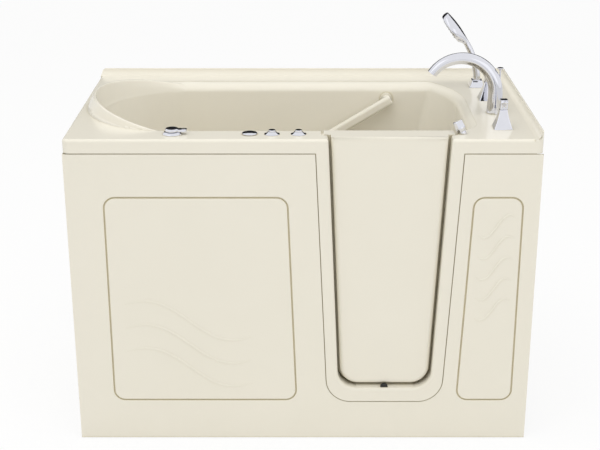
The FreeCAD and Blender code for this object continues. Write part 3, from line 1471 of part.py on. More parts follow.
def overflow_pipe():
    """Pipe from the waste control, over the rail and down behind the tap end to the waste pipe."""
    turn = V(OVERFLOW.x, OVERFLOW.y, OVERFLOW_TURN)
    aside = turn + V(OVERFLOW_ASIDE, OVERFLOW_BACK, 0)
    low = V(aside.x, aside.y, WASTE_Z)
    end = V(aside.x, DRAIN.y - WASTE_R - SEAT_GAP, WASTE_Z)
    points = [OVERFLOW, turn, aside, low, end]
    return pipe_run(points, WASTE_R).cut(pipe_run(points, WASTE_R - PIPE_WALL))


def waste():
    """Drain and waste nodes."""
    return {"drain_flange": [drain_flange()], "drain_stopper": [drain_stopper()],
            "waste_elbow": [waste_elbow()], "overflow_pipe": [overflow_pipe()]}


def waste_control():
    """Tilted rotary control beside the door: fixed collar on its shank, and the faceted knob."""
    bore = STEM_R + RUN_GAP
    lap = CONTROL_SHANK_R - 1
    collar = turned([(0, -CONTROL_SHANK), (CONTROL_SHANK_R, -CONTROL_SHANK),
                     (CONTROL_SHANK_R, CONTROL_COLLAR), (bore, CONTROL_COLLAR),
                     (bore, -CONTROL_BORE), (0, -CONTROL_BORE)], CONTROL, CONTROL_AXIS)
    shroud = turned([(lap, -CONTROL_R), (CONTROL_R, -CONTROL_R), (CONTROL_R, CONTROL_COLLAR),
                     (lap, CONTROL_COLLAR)], CONTROL, CONTROL_AXIS)
    above = box(CONTROL.x - LIP_DROP, CONTROL.x + LIP_DROP, CONTROL.y - LIP_DROP, CONTROL.y + LIP_DROP,
                DECK_Z + SEAT_GAP, DECK_Z + LIP_DROP)
    low = CONTROL_COLLAR + SEAT_GAP
    knob = Part.makeLoft([facet_wire(KNOB_W * KNOB_FOOT, low), facet_wire(KNOB_W, low + KNOB_WAIST),
                          facet_wire(KNOB_W * KNOB_TOP, low + KNOB_L)], True, True)
    stem = rod(V(0, 0, 1 - CONTROL_BORE), V(0, 0, low + 1), STEM_R)
    return {"waste_control": [joined([collar, shroud.common(above)])],
            "waste_knob": [placed(joined([knob, stem]), CONTROL, CONTROL_AXIS)]}


# controls on the front deck


def shank(base, radius, length, bore):
    """Threaded shank through the deck, bored from the top."""
    low = base - V(0, 0, length)
    return rod(base, low, radius - SEAT_GAP).cut(rod(base, low + V(0, 0, WALL), bore))


def jet_diverter():
    """Diverter valve: eight-sided escutcheon on its shank with ports, and a flat lever."""
    bore = STEM_R + RUN_GAP
    rings = [facet_wire(DIVERTER_W, 0), facet_wire(DIVERTER_W - DIVERTER_DRAFT, DIVERTER_EDGE),
             facet_wire(DIVERTER_W - DIVERTER_BEVEL, DIVERTER_T)]
    plate = Part.makeLoft(rings, True, True).translated(DIVERTER)
    body_top = DIVERTER - V(0, 0, DECK_SHANK - DIVERTER_LAP)
    body_low = body_top - V(0, 0, DIVERTER_BODY)
    middle = (body_top + body_low) / 2
    body = rod(body_low, body_top, DIVERTER_BODY_R)
    ports = rod(middle - V(DIVERTER_PORT, 0, 0), middle + V(DIVERTER_PORT, 0, 0), PIPE_R)
    valve = joined([plate, shank(DIVERTER, DECK_SHANK_R, DECK_SHANK, bore), body, ports])
    valve = valve.cut(rod(DIVERTER - V(0, 0, DIVERTER_STEM + 1), DIVERTER + V(0, 0, DIVERTER_STEM), bore))
    base = DIVERTER + V(0, 0, DIVERTER_T + SEAT_GAP)
    edge = DIVERTER_HUB_T / 3
    hub = turned([(0, 0), (DIVERTER_HUB_R - 1, 0), (DIVERTER_HUB_R, edge), (DIVERTER_HUB_R, 2 * edge),
                  (DIVERTER_HUB_R - edge, DIVERTER_HUB_T), (0, DIVERTER_HUB_T)], base)
    half = DIVERTER_ARM_W / 2
    arm = prism(rounded_plan(0, DIVERTER_ARM, -half, half, 0, DIVERTER_ARM_R), V(0, 0, DIVERTER_ARM_T))
    stem = rod(DIVERTER - V(0, 0, DIVERTER_STEM), base + V(0, 0, 1), STEM_R)
    return {"jet_diverter_valve": [valve], "jet_diverter_lever": [joined([hub, arm.translated(base), stem])]}


def air_control():
    """Air control: housing under the deck and the domed knob that turns on it."""
    bore = STEM_R + RUN_GAP
    seat_r = AIR_KNOB_R - 2
    seat = turned([(bore, 0), (seat_r, 0), (seat_r, AIR_SEAT_T), (bore, AIR_SEAT_T)], AIR_KNOB)
    low = AIR_SEAT_T + SEAT_GAP
    rim = AIR_KNOB_H / AIR_KNOB_STEPS
    turns = [math.pi / 2 * step / AIR_KNOB_STEPS for step in range(AIR_KNOB_STEPS + 1)]
    dome = [(AIR_KNOB_R * math.cos(turn), low + rim + (AIR_KNOB_H - rim) * math.sin(turn))
            for turn in turns[:-1]]
    knob = turned([(0, low), (AIR_KNOB_R, low)] + dome + [(0, low + AIR_KNOB_H)], AIR_KNOB)
    stem = rod(AIR_KNOB - V(0, 0, DECK_SHANK / 2), AIR_KNOB + V(0, 0, low + 1), STEM_R)
    return {"air_control_housing": [joined([shank(AIR_KNOB, DECK_SHANK_R, DECK_SHANK, bore), seat])],
            "air_control_knob": [joined([knob, stem])]}


def air_buttons():
    """Two air buttons: flared bells with bellows housings below, and the buttons that press in."""
    bore = BUTTON_R + BUTTON_PLAY
    cup_r = DECK_SHANK_R - SEAT_GAP
    floor = -BUTTON_TRAVEL - BUTTON_ROOM
    bell = [(0, -DECK_SHANK), (cup_r, -DECK_SHANK), (cup_r, 0), (BELL_R, 0), (BELL_R, BELL_LIP),
            (BELL_R * BELL_WAIST, BELL_H / 2), (bore + BUTTON_BEVEL, BELL_H), (bore, BELL_H),
            (bore, floor), (0, floor)]
    button = [(0, -BUTTON_DEPTH), (BUTTON_R, -BUTTON_DEPTH), (BUTTON_R, BUTTON_STAND - BUTTON_BEVEL),
              (BUTTON_R - BUTTON_BEVEL, BUTTON_STAND), (0, BUTTON_STAND)]
    bases = [V(x, DECK_CONTROL_Y, DECK_Z) for x in BUTTON_X]
    nodes = {"air_button_bells": [turned(bell, base) for base in bases]}
    for name, base in zip(("left", "right"), bases):
        nodes["air_button_" + name] = [turned(button, base)]
    return nodes


# tap set


def flared_base(base, wide, neck, height, bore):
    """Four-sided flared base on the deck, bored up the middle."""
    wires = []
    for step in range(BASE_STEPS + 1):
        share = step / BASE_STEPS
        swell = (1 - share) ** BASE_CURVE
        wires.append(square_wire(neck + (wide - neck) * swell, height * share, BASE_CORNER))
    flare = Part.makeLoft(wires, True, False)
    return flare.cut(rod(V(0, 0, -1), V(0, 0, height + 1), bore)).translated(base)


def tap_valve(base):
    """Valve body under the deck: shank, cartridge block and supply tail."""
    top = base - V(0, 0, TAP_SHANK)
    low = top - V(0, 0, TAP_BLOCK)
    body = rod(top, low, TAP_BLOCK_R)
    tail = rod(low, low - V(0, 0, TAIL_LENGTH), TAIL_R)
    return joined([shank(base, TAP_SHANK_R, TAP_SHANK + 1, SHAFT_R + RUN_GAP), body, tail])


def tap_lever(base):
    """Handle: square head on its spindle and a tapered four-sided lever, rising towards the front."""
    low = base + V(0, 0, BASE_H + SEAT_GAP)
    head = prism(square_wire(HEAD_W, 0, HEAD_CORNER), V(0, 0, HEAD_H))

    def rim_edge(point):
        return near(point.z, 0) or near(point.z, HEAD_H)

    head = head.makeFillet(HEAD_EDGE, edges_where(head, rim_edge)).translated(low)
    root = low + V(0, 0, HEAD_H / 2)
    along = V(0, -1, LEVER_RISE).normalize()
    stations = ((0, LEVER_ROOT), (LEVER_REACH, LEVER_END), (LEVER_REACH + LEVER_NOSE, LEVER_END / 2))
    wires = []
    for out, half in stations:
        corners = [V(half, 0, out), V(0, half, out), V(-half, 0, out), V(0, -half, out)]
        wires.append(rounded_wire(corners, [HEAD_EDGE] * len(corners)))
    arm = placed(Part.makeLoft(wires, True, True), root, along)
    spindle = rod(base - V(0, 0, TAP_SHANK / 2), low + V(0, 0, 1), SHAFT_R)
    return joined([head, arm, spindle])


def spout_section(place, shrink):
    """Round section of the spout, along its rise and bend, drawn in by a wall."""
    radius = SPOUT_FOOT_R + (SPOUT_MOUTH_R - SPOUT_FOOT_R) * place ** SPOUT_TAPER
    if place < SPOUT_RISE_SHARE:
        centre = SPOUT + V(0, 0, SPOUT_RISE * place / SPOUT_RISE_SHARE)
        along = Z_AXIS
    else:
        angle = math.radians(SPOUT_SWEEP) * (place - SPOUT_RISE_SHARE) / (1 - SPOUT_RISE_SHARE)
        middle = SPOUT + V(-SPOUT_BEND_R, 0, SPOUT_RISE)
        centre = middle + V(SPOUT_BEND_R * math.cos(angle), 0, SPOUT_BEND_R * math.sin(angle))
        along = V(-math.sin(angle), 0, math.cos(angle))
    return Part.Wire(Part.makeCircle(radius - shrink, centre, along))


def spout_tube(shrink):
    """Tapering arch of the spout, drawn in by a wall."""
    rings = [spout_section(step / SPOUT_STEPS, shrink) for step in range(SPOUT_STEPS + 1)]
    return Part.makeLoft(rings, True, False)


def spout():
    """Arched spout with its threaded shank and the lift rod's hole; the lift knob."""
    lift = SPOUT + V(LIFT_OUT, 0, 0)
    guide = rod(lift + V(0, 0, SPOUT_RISE), lift + V(0, 0, 2 * LIFT_TOP), LIFT_ROD_R + RUN_GAP)
    arch = spout_tube(0).cut([spout_tube(SPOUT_WALL), guide])
    bore = TAP_SHANK_R - TAP_SHANK_WALL
    tail = tube(SPOUT, SPOUT - V(0, 0, TAP_SHANK), TAP_SHANK_R - SEAT_GAP, bore)
    floor = tube(SPOUT, SPOUT + V(0, 0, SPOUT_FLOOR), SPOUT_FOOT_R - SPOUT_WALL / 2, bore)
    profile = [(0, -LIFT_ROD_L), (LIFT_ROD_R, -LIFT_ROD_L), (LIFT_ROD_R, -LIFT_NECK),
               (LIFT_NECK_R, -2 * LIFT_CAP), (LIFT_KNOB_R - 1, -LIFT_CAP), (LIFT_KNOB_R, 0),
               (LIFT_KNOB_R - LIFT_CAP / 2, LIFT_CAP / 2), (0, LIFT_CAP / 2)]
    return {"spout": [joined([arch, tail, floor])], "lift_knob": [turned(profile, lift + V(0, 0, LIFT_TOP))]}


def shower_point(length):
    """Point and direction of the hand shower's middle line: an arc, then straight through the head."""
    arc = SHOWER_BEND * SHOWER_BEND_R
    angle = min(length, arc) / SHOWER_BEND_R
    along = V(-math.sin(angle), 0, math.cos(angle))
    bend = V(math.cos(angle) - 1, 0, math.sin(angle)) * SHOWER_BEND_R
    return SHOWER + V(0, 0, SHOWER_LOW) + bend + along * max(0.0, length - arc), along


def shower_section(length):
    """Oval section of the hand shower: a waisted grip that swells forward into a broad head."""
    centre, along = shower_point(length)
    fore = V(-along.z, 0, along.x)
    neck = SHOWER_BEND * SHOWER_BEND_R - SHOWER_NECK
    grip = GRIP_R - GRIP_WAIST * math.sin(math.pi / 2 * min(1.0, length / neck))
    share = max(0.0, (length - neck) / SHOWER_HEAD_L)
    swell = math.sin(math.pi * share) ** (SHOWER_SOFT - SHOWER_BLUNT * share)
    front = grip + SHOWER_HEAD_FORE * swell
    rear = GRIP_R - (GRIP_R - grip) * (1 - swell) - SHOWER_HEAD_TIP * share ** 3
    half = (front + rear) / 2
    wide = max(GRIP_FLAT * half, grip + SHOWER_HEAD_W * swell)
    middle = centre + fore * ((front - rear) / 2)
    return Part.Wire(Part.Ellipse(middle + Y_AXIS * wide, middle + fore * half, middle).toShape())


def hand_shower():
    """Hand shower: one curved body with a flat face, its spray plate, and the flared holder."""
    arc = SHOWER_BEND * SHOWER_BEND_R
    whole = arc - SHOWER_NECK + SHOWER_HEAD_L
    wires = [shower_section(whole * step / SHOWER_STEPS) for step in range(SHOWER_STEPS + 1)]
    body = Part.makeLoft(wires, True, False)
    neck, up = shower_point(arc)
    fore = V(-up.z, 0, up.x)
    front = box(-SHOWER_HEAD_L, SHOWER_HEAD_L, -SHOWER_HEAD_L, SHOWER_HEAD_L, 0, SHOWER_HEAD_L)
    ahead = placed(front, neck + up * SHOWER_HEAD_L + fore * SHOWER_FACE, fore)
    middle = neck + up * SPRAY_UP + fore * (SHOWER_FACE - SPRAY_SUNK)
    pocket = rod(middle, middle + fore * (2 * SPRAY_SUNK), SPRAY_R + SEAT_GAP)
    top = SPRAY_T - NUB_R / 2
    plate = turned([(0, 0), (SPRAY_R, 0), (SPRAY_R, SPRAY_SUNK), (SPRAY_R - 1, SPRAY_T), (0, SPRAY_T)],
                   middle, fore)
    nubs = []
    for ring in range(1, NUB_RINGS + 1):
        for point in ring_places(NUB_STEP * ring, NUB_PITCH):
            nub = Part.makeCone(NUB_R, NUB_TIP_R, NUB_H, point + V(0, 0, top))
            nubs.append(placed(nub, middle, fore))
    bore = TAP_SHANK_R - TAP_SHANK_WALL
    ledge = tube(SHOWER, SHOWER + V(0, 0, SHOWER_LOW - SEAT_GAP), GRIP_R + HOLDER_LEDGE, bore)
    seat = flared_base(SHOWER, HOLDER_W, HOLDER_TOP, HOLDER_H, GRIP_FLAT * GRIP_R + SEAT_GAP)
    holder = joined([seat, shank(SHOWER, TAP_SHANK_R, TAP_SHANK, bore), ledge])
    return {"hand_shower": [body.cut([ahead, pocket])], "spray_face": [plate.fuse(nubs)],
            "hand_shower_holder": [holder]}


def taps():
    """Hot and cold taps with the spout and the hand shower."""
    nodes = {"tap_bases": [], "tap_valves": []}
    for name, y in (("hot", TAP_Y[0]), ("cold", TAP_Y[2])):
        base = V(TAP_X, y, DECK_Z)
        nodes["tap_bases"].append(flared_base(base, BASE_W, BASE_NECK, BASE_H, SHAFT_R + RUN_GAP))
        nodes["tap_valves"].append(tap_valve(base))
        nodes[name + "_lever"] = [tap_lever(base)]
    nodes.update(spout())
    nodes.update(hand_shower())
    return nodes


# holes in the shell, and the whole tub


def fitting_holes():
    """Holes through the shell for every fitting."""
    deep = 3 * WALL
    deck = [(V(x, DECK_CONTROL_Y, DECK_Z), DECK_SHANK_R) for x in (DIVERTER.x, AIR_KNOB.x, *BUTTON_X)]
    deck += [(V(TAP_X, y, DECK_Z), TAP_SHANK_R) for y in TAP_Y[:3]]
    deck += [(SHOWER, TAP_SHANK_R), (DRAIN, STOPPER_R - DRAIN_BEVEL + DRAIN_WALL + SEAT_GAP)]
    tools = [rod(place - Z_AXIS * deep, place + Z_AXIS * deep, radius) for place, radius in deck]
    tools += [rod(base - out * deep, base + out * deep, JET_HOLE_R) for name, base, out in jet_places()]
    riser = V(SEAT_X, PUMP.y, PUMP.z)
    tools.append(rod(riser - X_AXIS * deep, riser + X_AXIS * deep, SUCTION_R + SUCTION_WALL + SEAT_GAP))
    reach = CONTROL_AXIS * (2 * deep)
    tools.append(rod(CONTROL - reach, CONTROL + reach, CONTROL_SHANK_R + SEAT_GAP))
    return tools


def main():
    """Builds every node and writes it."""
    space = rounded_basin()
    nodes = {
        "tub_shell": [tub_shell(space).cut(fitting_holes())],
        "front_skirt": [front_skirt()],
        "end_skirt": [end_skirt()],
        "skirt_brackets": skirt_brackets(),
        "door_outer_shell": [door_outer_shell()],
        "door_inner_liner": [door_inner_liner()],
        "door_seal": [door_seal()],
        "sill_weep_plug": [sill_weep_plug()],
        "grab_bar": [grab_bar()],
        "pressure_pipe": [pressure_pipe()],
    }
    for group in (frame_members, frame_feet, door_hinges, latch, jets, suction, pump, waste, waste_control,
                  jet_diverter, air_control, air_buttons, taps):
        nodes.update(group())
    os.makedirs("parts", exist_ok=True)
    for name, solids in nodes.items():
        shape = solids[0] if len(solids) == 1 else Part.makeCompound(solids)
        shape.exportStep("parts/" + name + ".step")
        print(name, len(shape.Solids), shape.isValid(), round(shape.Volume / 1000, 1))


main()
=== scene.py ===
"""Dresses the walk-in jetted bathtub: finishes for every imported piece, fine details, light and camera."""
import json
import logging
import math
from dataclasses import dataclass, field
from enum import Enum
from typing import Any, Callable

import bpy
from mathutils import Matrix, Vector
from mathutils.bvhtree import BVHTree


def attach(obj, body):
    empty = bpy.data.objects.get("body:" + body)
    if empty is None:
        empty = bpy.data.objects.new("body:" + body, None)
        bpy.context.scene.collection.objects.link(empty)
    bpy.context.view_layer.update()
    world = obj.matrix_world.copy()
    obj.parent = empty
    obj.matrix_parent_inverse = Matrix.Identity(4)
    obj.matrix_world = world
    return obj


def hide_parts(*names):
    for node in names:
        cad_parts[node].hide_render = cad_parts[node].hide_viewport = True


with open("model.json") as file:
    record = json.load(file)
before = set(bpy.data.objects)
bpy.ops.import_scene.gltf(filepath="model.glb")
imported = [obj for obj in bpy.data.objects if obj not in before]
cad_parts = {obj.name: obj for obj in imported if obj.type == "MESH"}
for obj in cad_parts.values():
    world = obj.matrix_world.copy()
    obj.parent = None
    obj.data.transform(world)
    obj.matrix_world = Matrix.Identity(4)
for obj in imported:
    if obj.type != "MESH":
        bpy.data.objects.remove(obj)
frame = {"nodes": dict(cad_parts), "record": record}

LOG = logging.getLogger("bathtub")
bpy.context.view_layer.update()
MM = 0.001
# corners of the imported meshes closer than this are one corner
MERGE_MM = 0.002
# an edge stays sharp above this angle
SHARP_DEG = 32.0
# lead of large faces over small ones in the even shading, where 50 is none
FACE_WEIGHT = 90
# two faces are level when the cosine between their normals passes this, and a level area is broad from this size
LEVEL = 0.9999995
BROAD_MM2 = 1500.0
# a face looks along a direction when the cosine between its normal and the direction passes this
FACING = 0.9
# rows of faces across an eased edge
EASE_STEPS = 2
# sockets of a colour mix node: share, the two colours and the result
MIX_SHARE, MIX_FIRST, MIX_SECOND, MIX_RESULT = 0, 6, 7, 2


def linear(code: str) -> tuple[float, float, float, float]:
    """Turns an sRGB hex colour to linear values, by the curve of the sRGB standard.

    Args:
        code: colour such as "#E8E4D8".

    Returns:
        Linear red, green, blue and an alpha of one.
    """
    parts = [int(code[at:at + 2], 16) / 255 for at in (1, 3, 5)]
    spread = [part / 12.92 if part <= 0.04045 else ((part + 0.055) / 1.055) ** 2.4 for part in parts]
    return (spread[0], spread[1], spread[2], 1.0)


WHITE = linear("#FFFFFF")


def add_node(tree: bpy.types.NodeTree, kind: str, settings: dict[Any, Any] | None = None,
             links: dict[Any, bpy.types.NodeSocket] | None = None) -> bpy.types.Node:
    """Adds a shader node with its settings and links.

    Args:
        tree: node tree that takes the node.
        kind: node type.
        settings: input sockets by name or number, or the node's own properties, with their values.
        links: input sockets by name or number, with the outputs that feed them.

    Returns:
        The new node.
    """
    node = tree.nodes.new(kind)
    for key, value in (settings or {}).items():
        if isinstance(key, int) or key in node.inputs:
            node.inputs[key].default_value = value
        else:
            setattr(node, key, value)
    for key, socket in (links or {}).items():
        tree.links.new(socket, node.inputs[key])
    return node


class Surface(Enum):
    """How a finish was made: a brushed grain is drawn out along its length and laid strands wander."""

    MOULDED = "moulded"
    POLISHED = "polished"
    BRUSHED = "brushed"
    COATED = "coated"
    LAID = "laid"


@dataclass(frozen=True)
class Finish:
    """One real finish: two close tones, gloss and fine grain, with shade painted into narrow hollows if wanted.

    Args:
        name: material's name.
        slot: slot of the pieces that wear it; not used.
        surface: how it was made.
        tone: main colour.
        shade: second colour, close to the first.
        tone_mm: size of the patches in which the two colours change.
        roughness: middle roughness.
        rough_spread: how far the roughness goes either way.
        grain_mm: size of the grain.
        grain_depth_mm: depth of the grain.
        metallic: one for metal.
        ior: index of refraction of what isn't metal.
        specular: strength of the mirror image in what isn't metal.
        painted_shade: colour of the shade painted into narrow hollows, if any.
        painted_shade_mm: how far away a face may be and still hide the sky from a crevice, for the painted shade.
        painted_shade_samples: rays that feel for a crevice, for the painted shade.
        painted_shade_open: open share of the sky where the painted shade is full, and where it ends.
        brush_stretch: scale of a brushed grain along its strokes, below one to draw it out.
        strand_wander: how much laid strands wander.
        tone_detail: fineness of the patches.
        grain_detail: fineness of the grain.
    """

    name: str
    slot: str
    surface: Surface
    tone: str
    shade: str
    tone_mm: float
    roughness: float
    rough_spread: float
    grain_mm: float
    grain_depth_mm: float
    metallic: float = 0.0
    ior: float = 1.5
    specular: float = 0.5
    painted_shade: str = ""
    painted_shade_mm: float = 8.0
    painted_shade_samples: int = 8
    painted_shade_open: tuple[float, float] = (0.35, 0.95)
    brush_stretch: float = 0.04
    strand_wander: float = 3.5
    tone_detail: float = 3.0
    grain_detail: float = 2.0

    def material(self) -> bpy.types.Material:
        """Gives the finish's material, made once."""
        known = bpy.data.materials.get(self.name)
        return known if known else self.make()

    def make(self) -> bpy.types.Material:
        """Builds the material from its tones, gloss and grain.

        Returns:
            The new material.
        """
        material = bpy.data.materials.new(self.name)
        material.use_nodes = True
        tree = material.node_tree
        shader = tree.nodes["Principled BSDF"]
        place = add_node(tree, "ShaderNodeTexCoord").outputs["Object"]
        brushed = self.surface is Surface.BRUSHED
        stretch = (1.0, 1.0, self.brush_stretch if brushed else 1.0)
        spot = add_node(tree, "ShaderNodeMapping", {"Scale": stretch}, {"Vector": place}).outputs["Vector"]
        wander = self.strand_wander if self.surface is Surface.LAID else 0.0
        cloud = add_node(
            tree, "ShaderNodeTexNoise",
            {"Scale": 1 / (self.tone_mm * MM), "Detail": self.tone_detail, "Distortion": wander},
            {"Vector": place}).outputs["Fac"]
        grain = add_node(
            tree, "ShaderNodeTexNoise",
            {"Scale": 1 / (self.grain_mm * MM), "Detail": self.grain_detail, "Distortion": wander},
            {"Vector": spot}).outputs["Fac"]
        tones = add_node(
            tree, "ShaderNodeMix",
            {"data_type": "RGBA", MIX_FIRST: linear(self.tone), MIX_SECOND: linear(self.shade)},
            {MIX_SHARE: cloud})
        gloss = add_node(
            tree, "ShaderNodeMapRange",
            {"To Min": self.roughness - self.rough_spread, "To Max": self.roughness + self.rough_spread},
            {"Value": grain if brushed else cloud})
        bump = add_node(
            tree, "ShaderNodeBump", {"Strength": 1.0, "Distance": self.grain_depth_mm * MM}, {"Height": grain})
        shader.inputs["Metallic"].default_value = self.metallic
        shader.inputs["Specular IOR Level"].default_value = self.specular
        if self.metallic == 0.0:
            shader.inputs["IOR"].default_value = self.ior
        # painted shade: a darker tan mixed into the colour inside grooves and seams, where nearby faces hide the
        # sky
        if self.painted_shade:
            tones = self.paint_crevice_shade(tree, tones)
        tree.links.new(tones.outputs[MIX_RESULT], shader.inputs["Base Color"])
        tree.links.new(gloss.outputs["Result"], shader.inputs["Roughness"])
        tree.links.new(bump.outputs["Normal"], shader.inputs["Normal"])
        return material

    def paint_crevice_shade(self, tree: bpy.types.NodeTree, tones: bpy.types.Node) -> bpy.types.Node:
        """Paints shade into narrow hollows: mixes the shade's colour in where nearby faces hide most of the sky.

        Args:
            tree: the material's node tree.
            tones: mix of the two tones.

        Returns:
            The mix with the painted shade in it.
        """
        sky = add_node(tree, "ShaderNodeAmbientOcclusion",
                       {"samples": self.painted_shade_samples, "Distance": self.painted_shade_mm * MM})
        full, end = self.painted_shade_open
        # share of the painted shade: full where the sky is mostly hidden, none where it is open
        depth = add_node(tree, "ShaderNodeMapRange",
                         {"From Min": full, "From Max": end, "To Min": 1.0, "To Max": 0.0},
                         {"Value": sky.outputs["AO"]})
        return add_node(tree, "ShaderNodeMix", {"data_type": "RGBA", MIX_SECOND: linear(self.painted_shade)},
                        {MIX_SHARE: depth.outputs["Result"], MIX_FIRST: tones.outputs[MIX_RESULT]})


# cast acrylic, vacuum formed: soft gloss with a very slight ripple, and shade painted into its grooves and seams
# as a darker tan
ACRYLIC = Finish(
    "biscuit_cast_acrylic", "acrylic", Surface.MOULDED, "#EBE6D8", "#E8E3D4", tone_mm=240, roughness=0.19,
    rough_spread=0.03, grain_mm=9.0, grain_depth_mm=0.012, ior=1.49, specular=0.32, painted_shade="#C4B994")
# glass-fibre laminate sprayed behind the acrylic: dull, with wandering strands (drawn coarse, to show)
LAMINATE = Finish(
    "sprayed_glass_fibre_laminate", "acrylic", Surface.LAID, "#CFC8B2", "#BCB396", tone_mm=30, roughness=0.55,
    rough_spread=0.10, grain_mm=7.0, grain_depth_mm=0.35, ior=1.52)
# chrome plate over brass: a mirror with faint wiping haze
CHROME = Finish(
    "polished_chrome_plate", "chrome", Surface.POLISHED, "#E2E3EA", "#DADBE2", tone_mm=30, roughness=0.045,
    rough_spread=0.015, grain_mm=6.0, grain_depth_mm=0.002, metallic=1.0)
# tan silicone lip: satin, a little cloudy
SILICONE = Finish(
    "tan_silicone_seal", "seal_silicone", Surface.MOULDED, "#7E6E48", "#756540", tone_mm=25, roughness=0.42,
    rough_spread=0.06, grain_mm=1.5, grain_depth_mm=0.02, ior=1.41)
# stainless strip, brushed
STAINLESS = Finish(
    "brushed_stainless_steel", "stainless", Surface.BRUSHED, "#B4B3B0", "#A6A5A3", tone_mm=18, roughness=0.30,
    rough_spread=0.08, grain_mm=0.6, grain_depth_mm=0.006, metallic=1.0)
# powder coat on square tube: fine orange peel
POWDER = Finish(
    "grey_powder_coat", "frame_paint", Surface.COATED, "#9A9C9E", "#939597", tone_mm=90, roughness=0.45,
    rough_spread=0.05, grain_mm=1.6, grain_depth_mm=0.03)
# zinc plate: pale and slightly blotched
ZINC = Finish(
    "zinc_plated_steel", "zinc_steel", Surface.COATED, "#B9BCBD", "#A4A8AB", tone_mm=8, roughness=0.34,
    rough_spread=0.08, grain_mm=2.5, grain_depth_mm=0.01, metallic=1.0)
# moulded rubber: matt with a fine skin
RUBBER = Finish(
    "black_moulded_rubber", "seal_rubber", Surface.MOULDED, "#1B1B1A", "#242422", tone_mm=12, roughness=0.72,
    rough_spread=0.06, grain_mm=0.8, grain_depth_mm=0.03, ior=1.52)
# extruded pipe plastic: smooth and slightly waxy
PIPE = Finish(
    "white_pipe_plastic", "white_pvc", Surface.MOULDED, "#E4E4DF", "#DCDCD6", tone_mm=60, roughness=0.36,
    rough_spread=0.04, grain_mm=3.0, grain_depth_mm=0.01, ior=1.53)
# glass-filled black moulding: fine grain
BLACK = Finish(
    "black_filled_plastic", "black_plastic", Surface.MOULDED, "#242526", "#2C2D2E", tone_mm=20, roughness=0.5,
    rough_spread=0.06, grain_mm=1.0, grain_depth_mm=0.03)
# enamel on a cast motor body
ENAMEL = Finish(
    "dark_motor_enamel", "motor_paint", Surface.COATED, "#4A4D50", "#424548", tone_mm=40, roughness=0.42,
    rough_spread=0.05, grain_mm=2.2, grain_depth_mm=0.05)
# bare brass, cast and turned
BRASS = Finish(
    "turned_brass", "brass", Surface.BRUSHED, "#C9A45C", "#B58F4C", tone_mm=20, roughness=0.3,
    rough_spread=0.08, grain_mm=0.8, grain_depth_mm=0.008, metallic=1.0)
# grey plastic of the spray plate and the flow former
SPRAY = Finish(
    "grey_spray_plate_plastic", "spray_plastic", Surface.MOULDED, "#A9ACAF", "#9EA1A4", tone_mm=10, roughness=0.4,
    rough_spread=0.05, grain_mm=1.2, grain_depth_mm=0.02)


def deselect() -> None:
    """Leaves nothing selected."""
    bpy.ops.object.select_all(action="DESELECT")


def take(piece: bpy.types.Object) -> None:
    """Makes one object the only selected and active one.

    Args:
        piece: the object.
    """
    deselect()
    piece.select_set(True)
    bpy.context.view_layer.objects.active = piece


def body_of_node(node: str) -> str:
    """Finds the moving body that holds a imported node."""
    bodies = frame["record"]["behaviour"]["bodies"]
    return next(body for body, members in bodies.items() if node in members)


def pick_faces(piece: bpy.types.Object, wanted: Callable[[bpy.types.MeshPolygon], bool]) -> None:
    """Opens a piece for editing with only the wanted faces selected.

    Args:
        piece: piece to edit.
        wanted: says whether a face is wanted.
    """
    take(piece)
    bpy.ops.object.mode_set(mode="EDIT")
    bpy.ops.mesh.select_mode(type="FACE")
    bpy.ops.mesh.select_all(action="DESELECT")
    bpy.ops.object.mode_set(mode="OBJECT")
    for face in piece.data.polygons:
        face.select = wanted(face)
    bpy.ops.object.mode_set(mode="EDIT")


def flat_faces(mesh: bpy.types.Mesh, least_mm2: float) -> set[int]:
    """Finds the faces that lie in broad flat areas.

    Args:
        mesh: merged mesh.
        least_mm2: smallest area that counts as broad.

    Returns:
        The faces' numbers.
    """
    group = list(range(len(mesh.polygons)))

    def head(face: int) -> int:
        """Gives the face that stands for a face's flat area.

        Args:
            face: the face's number.

        Returns:
            The number of the face that stands for the area.
        """
        while group[face] != face:
            group[face] = group[group[face]]
            face = group[face]
        return face

    beside: dict[tuple[int, int], int] = {}
    for face in mesh.polygons:
        for edge in face.edge_keys:
            other = beside.setdefault(edge, face.index)
            if mesh.polygons[other].normal.dot(face.normal) > LEVEL:
                group[head(face.index)] = head(other)
    area: dict[int, float] = {}
    for face in mesh.polygons:
        area[head(face.index)] = area.get(head(face.index), 0.0) + face.area
    return {face.index for face in mesh.polygons if area[head(face.index)] > least_mm2 * MM * MM}


def level_shading(mesh: bpy.types.Mesh) -> None:
    """Keeps the shading of broad flat areas flat right up to their corners.

    Args:
        mesh: smoothly shaded mesh.
    """
    normals = [corner.vector.copy() for corner in mesh.corner_normals]
    for number in flat_faces(mesh, BROAD_MM2):
        face = mesh.polygons[number]
        for corner in face.loop_indices:
            normals[corner] = face.normal.copy()
    mesh.normals_split_custom_set(normals)


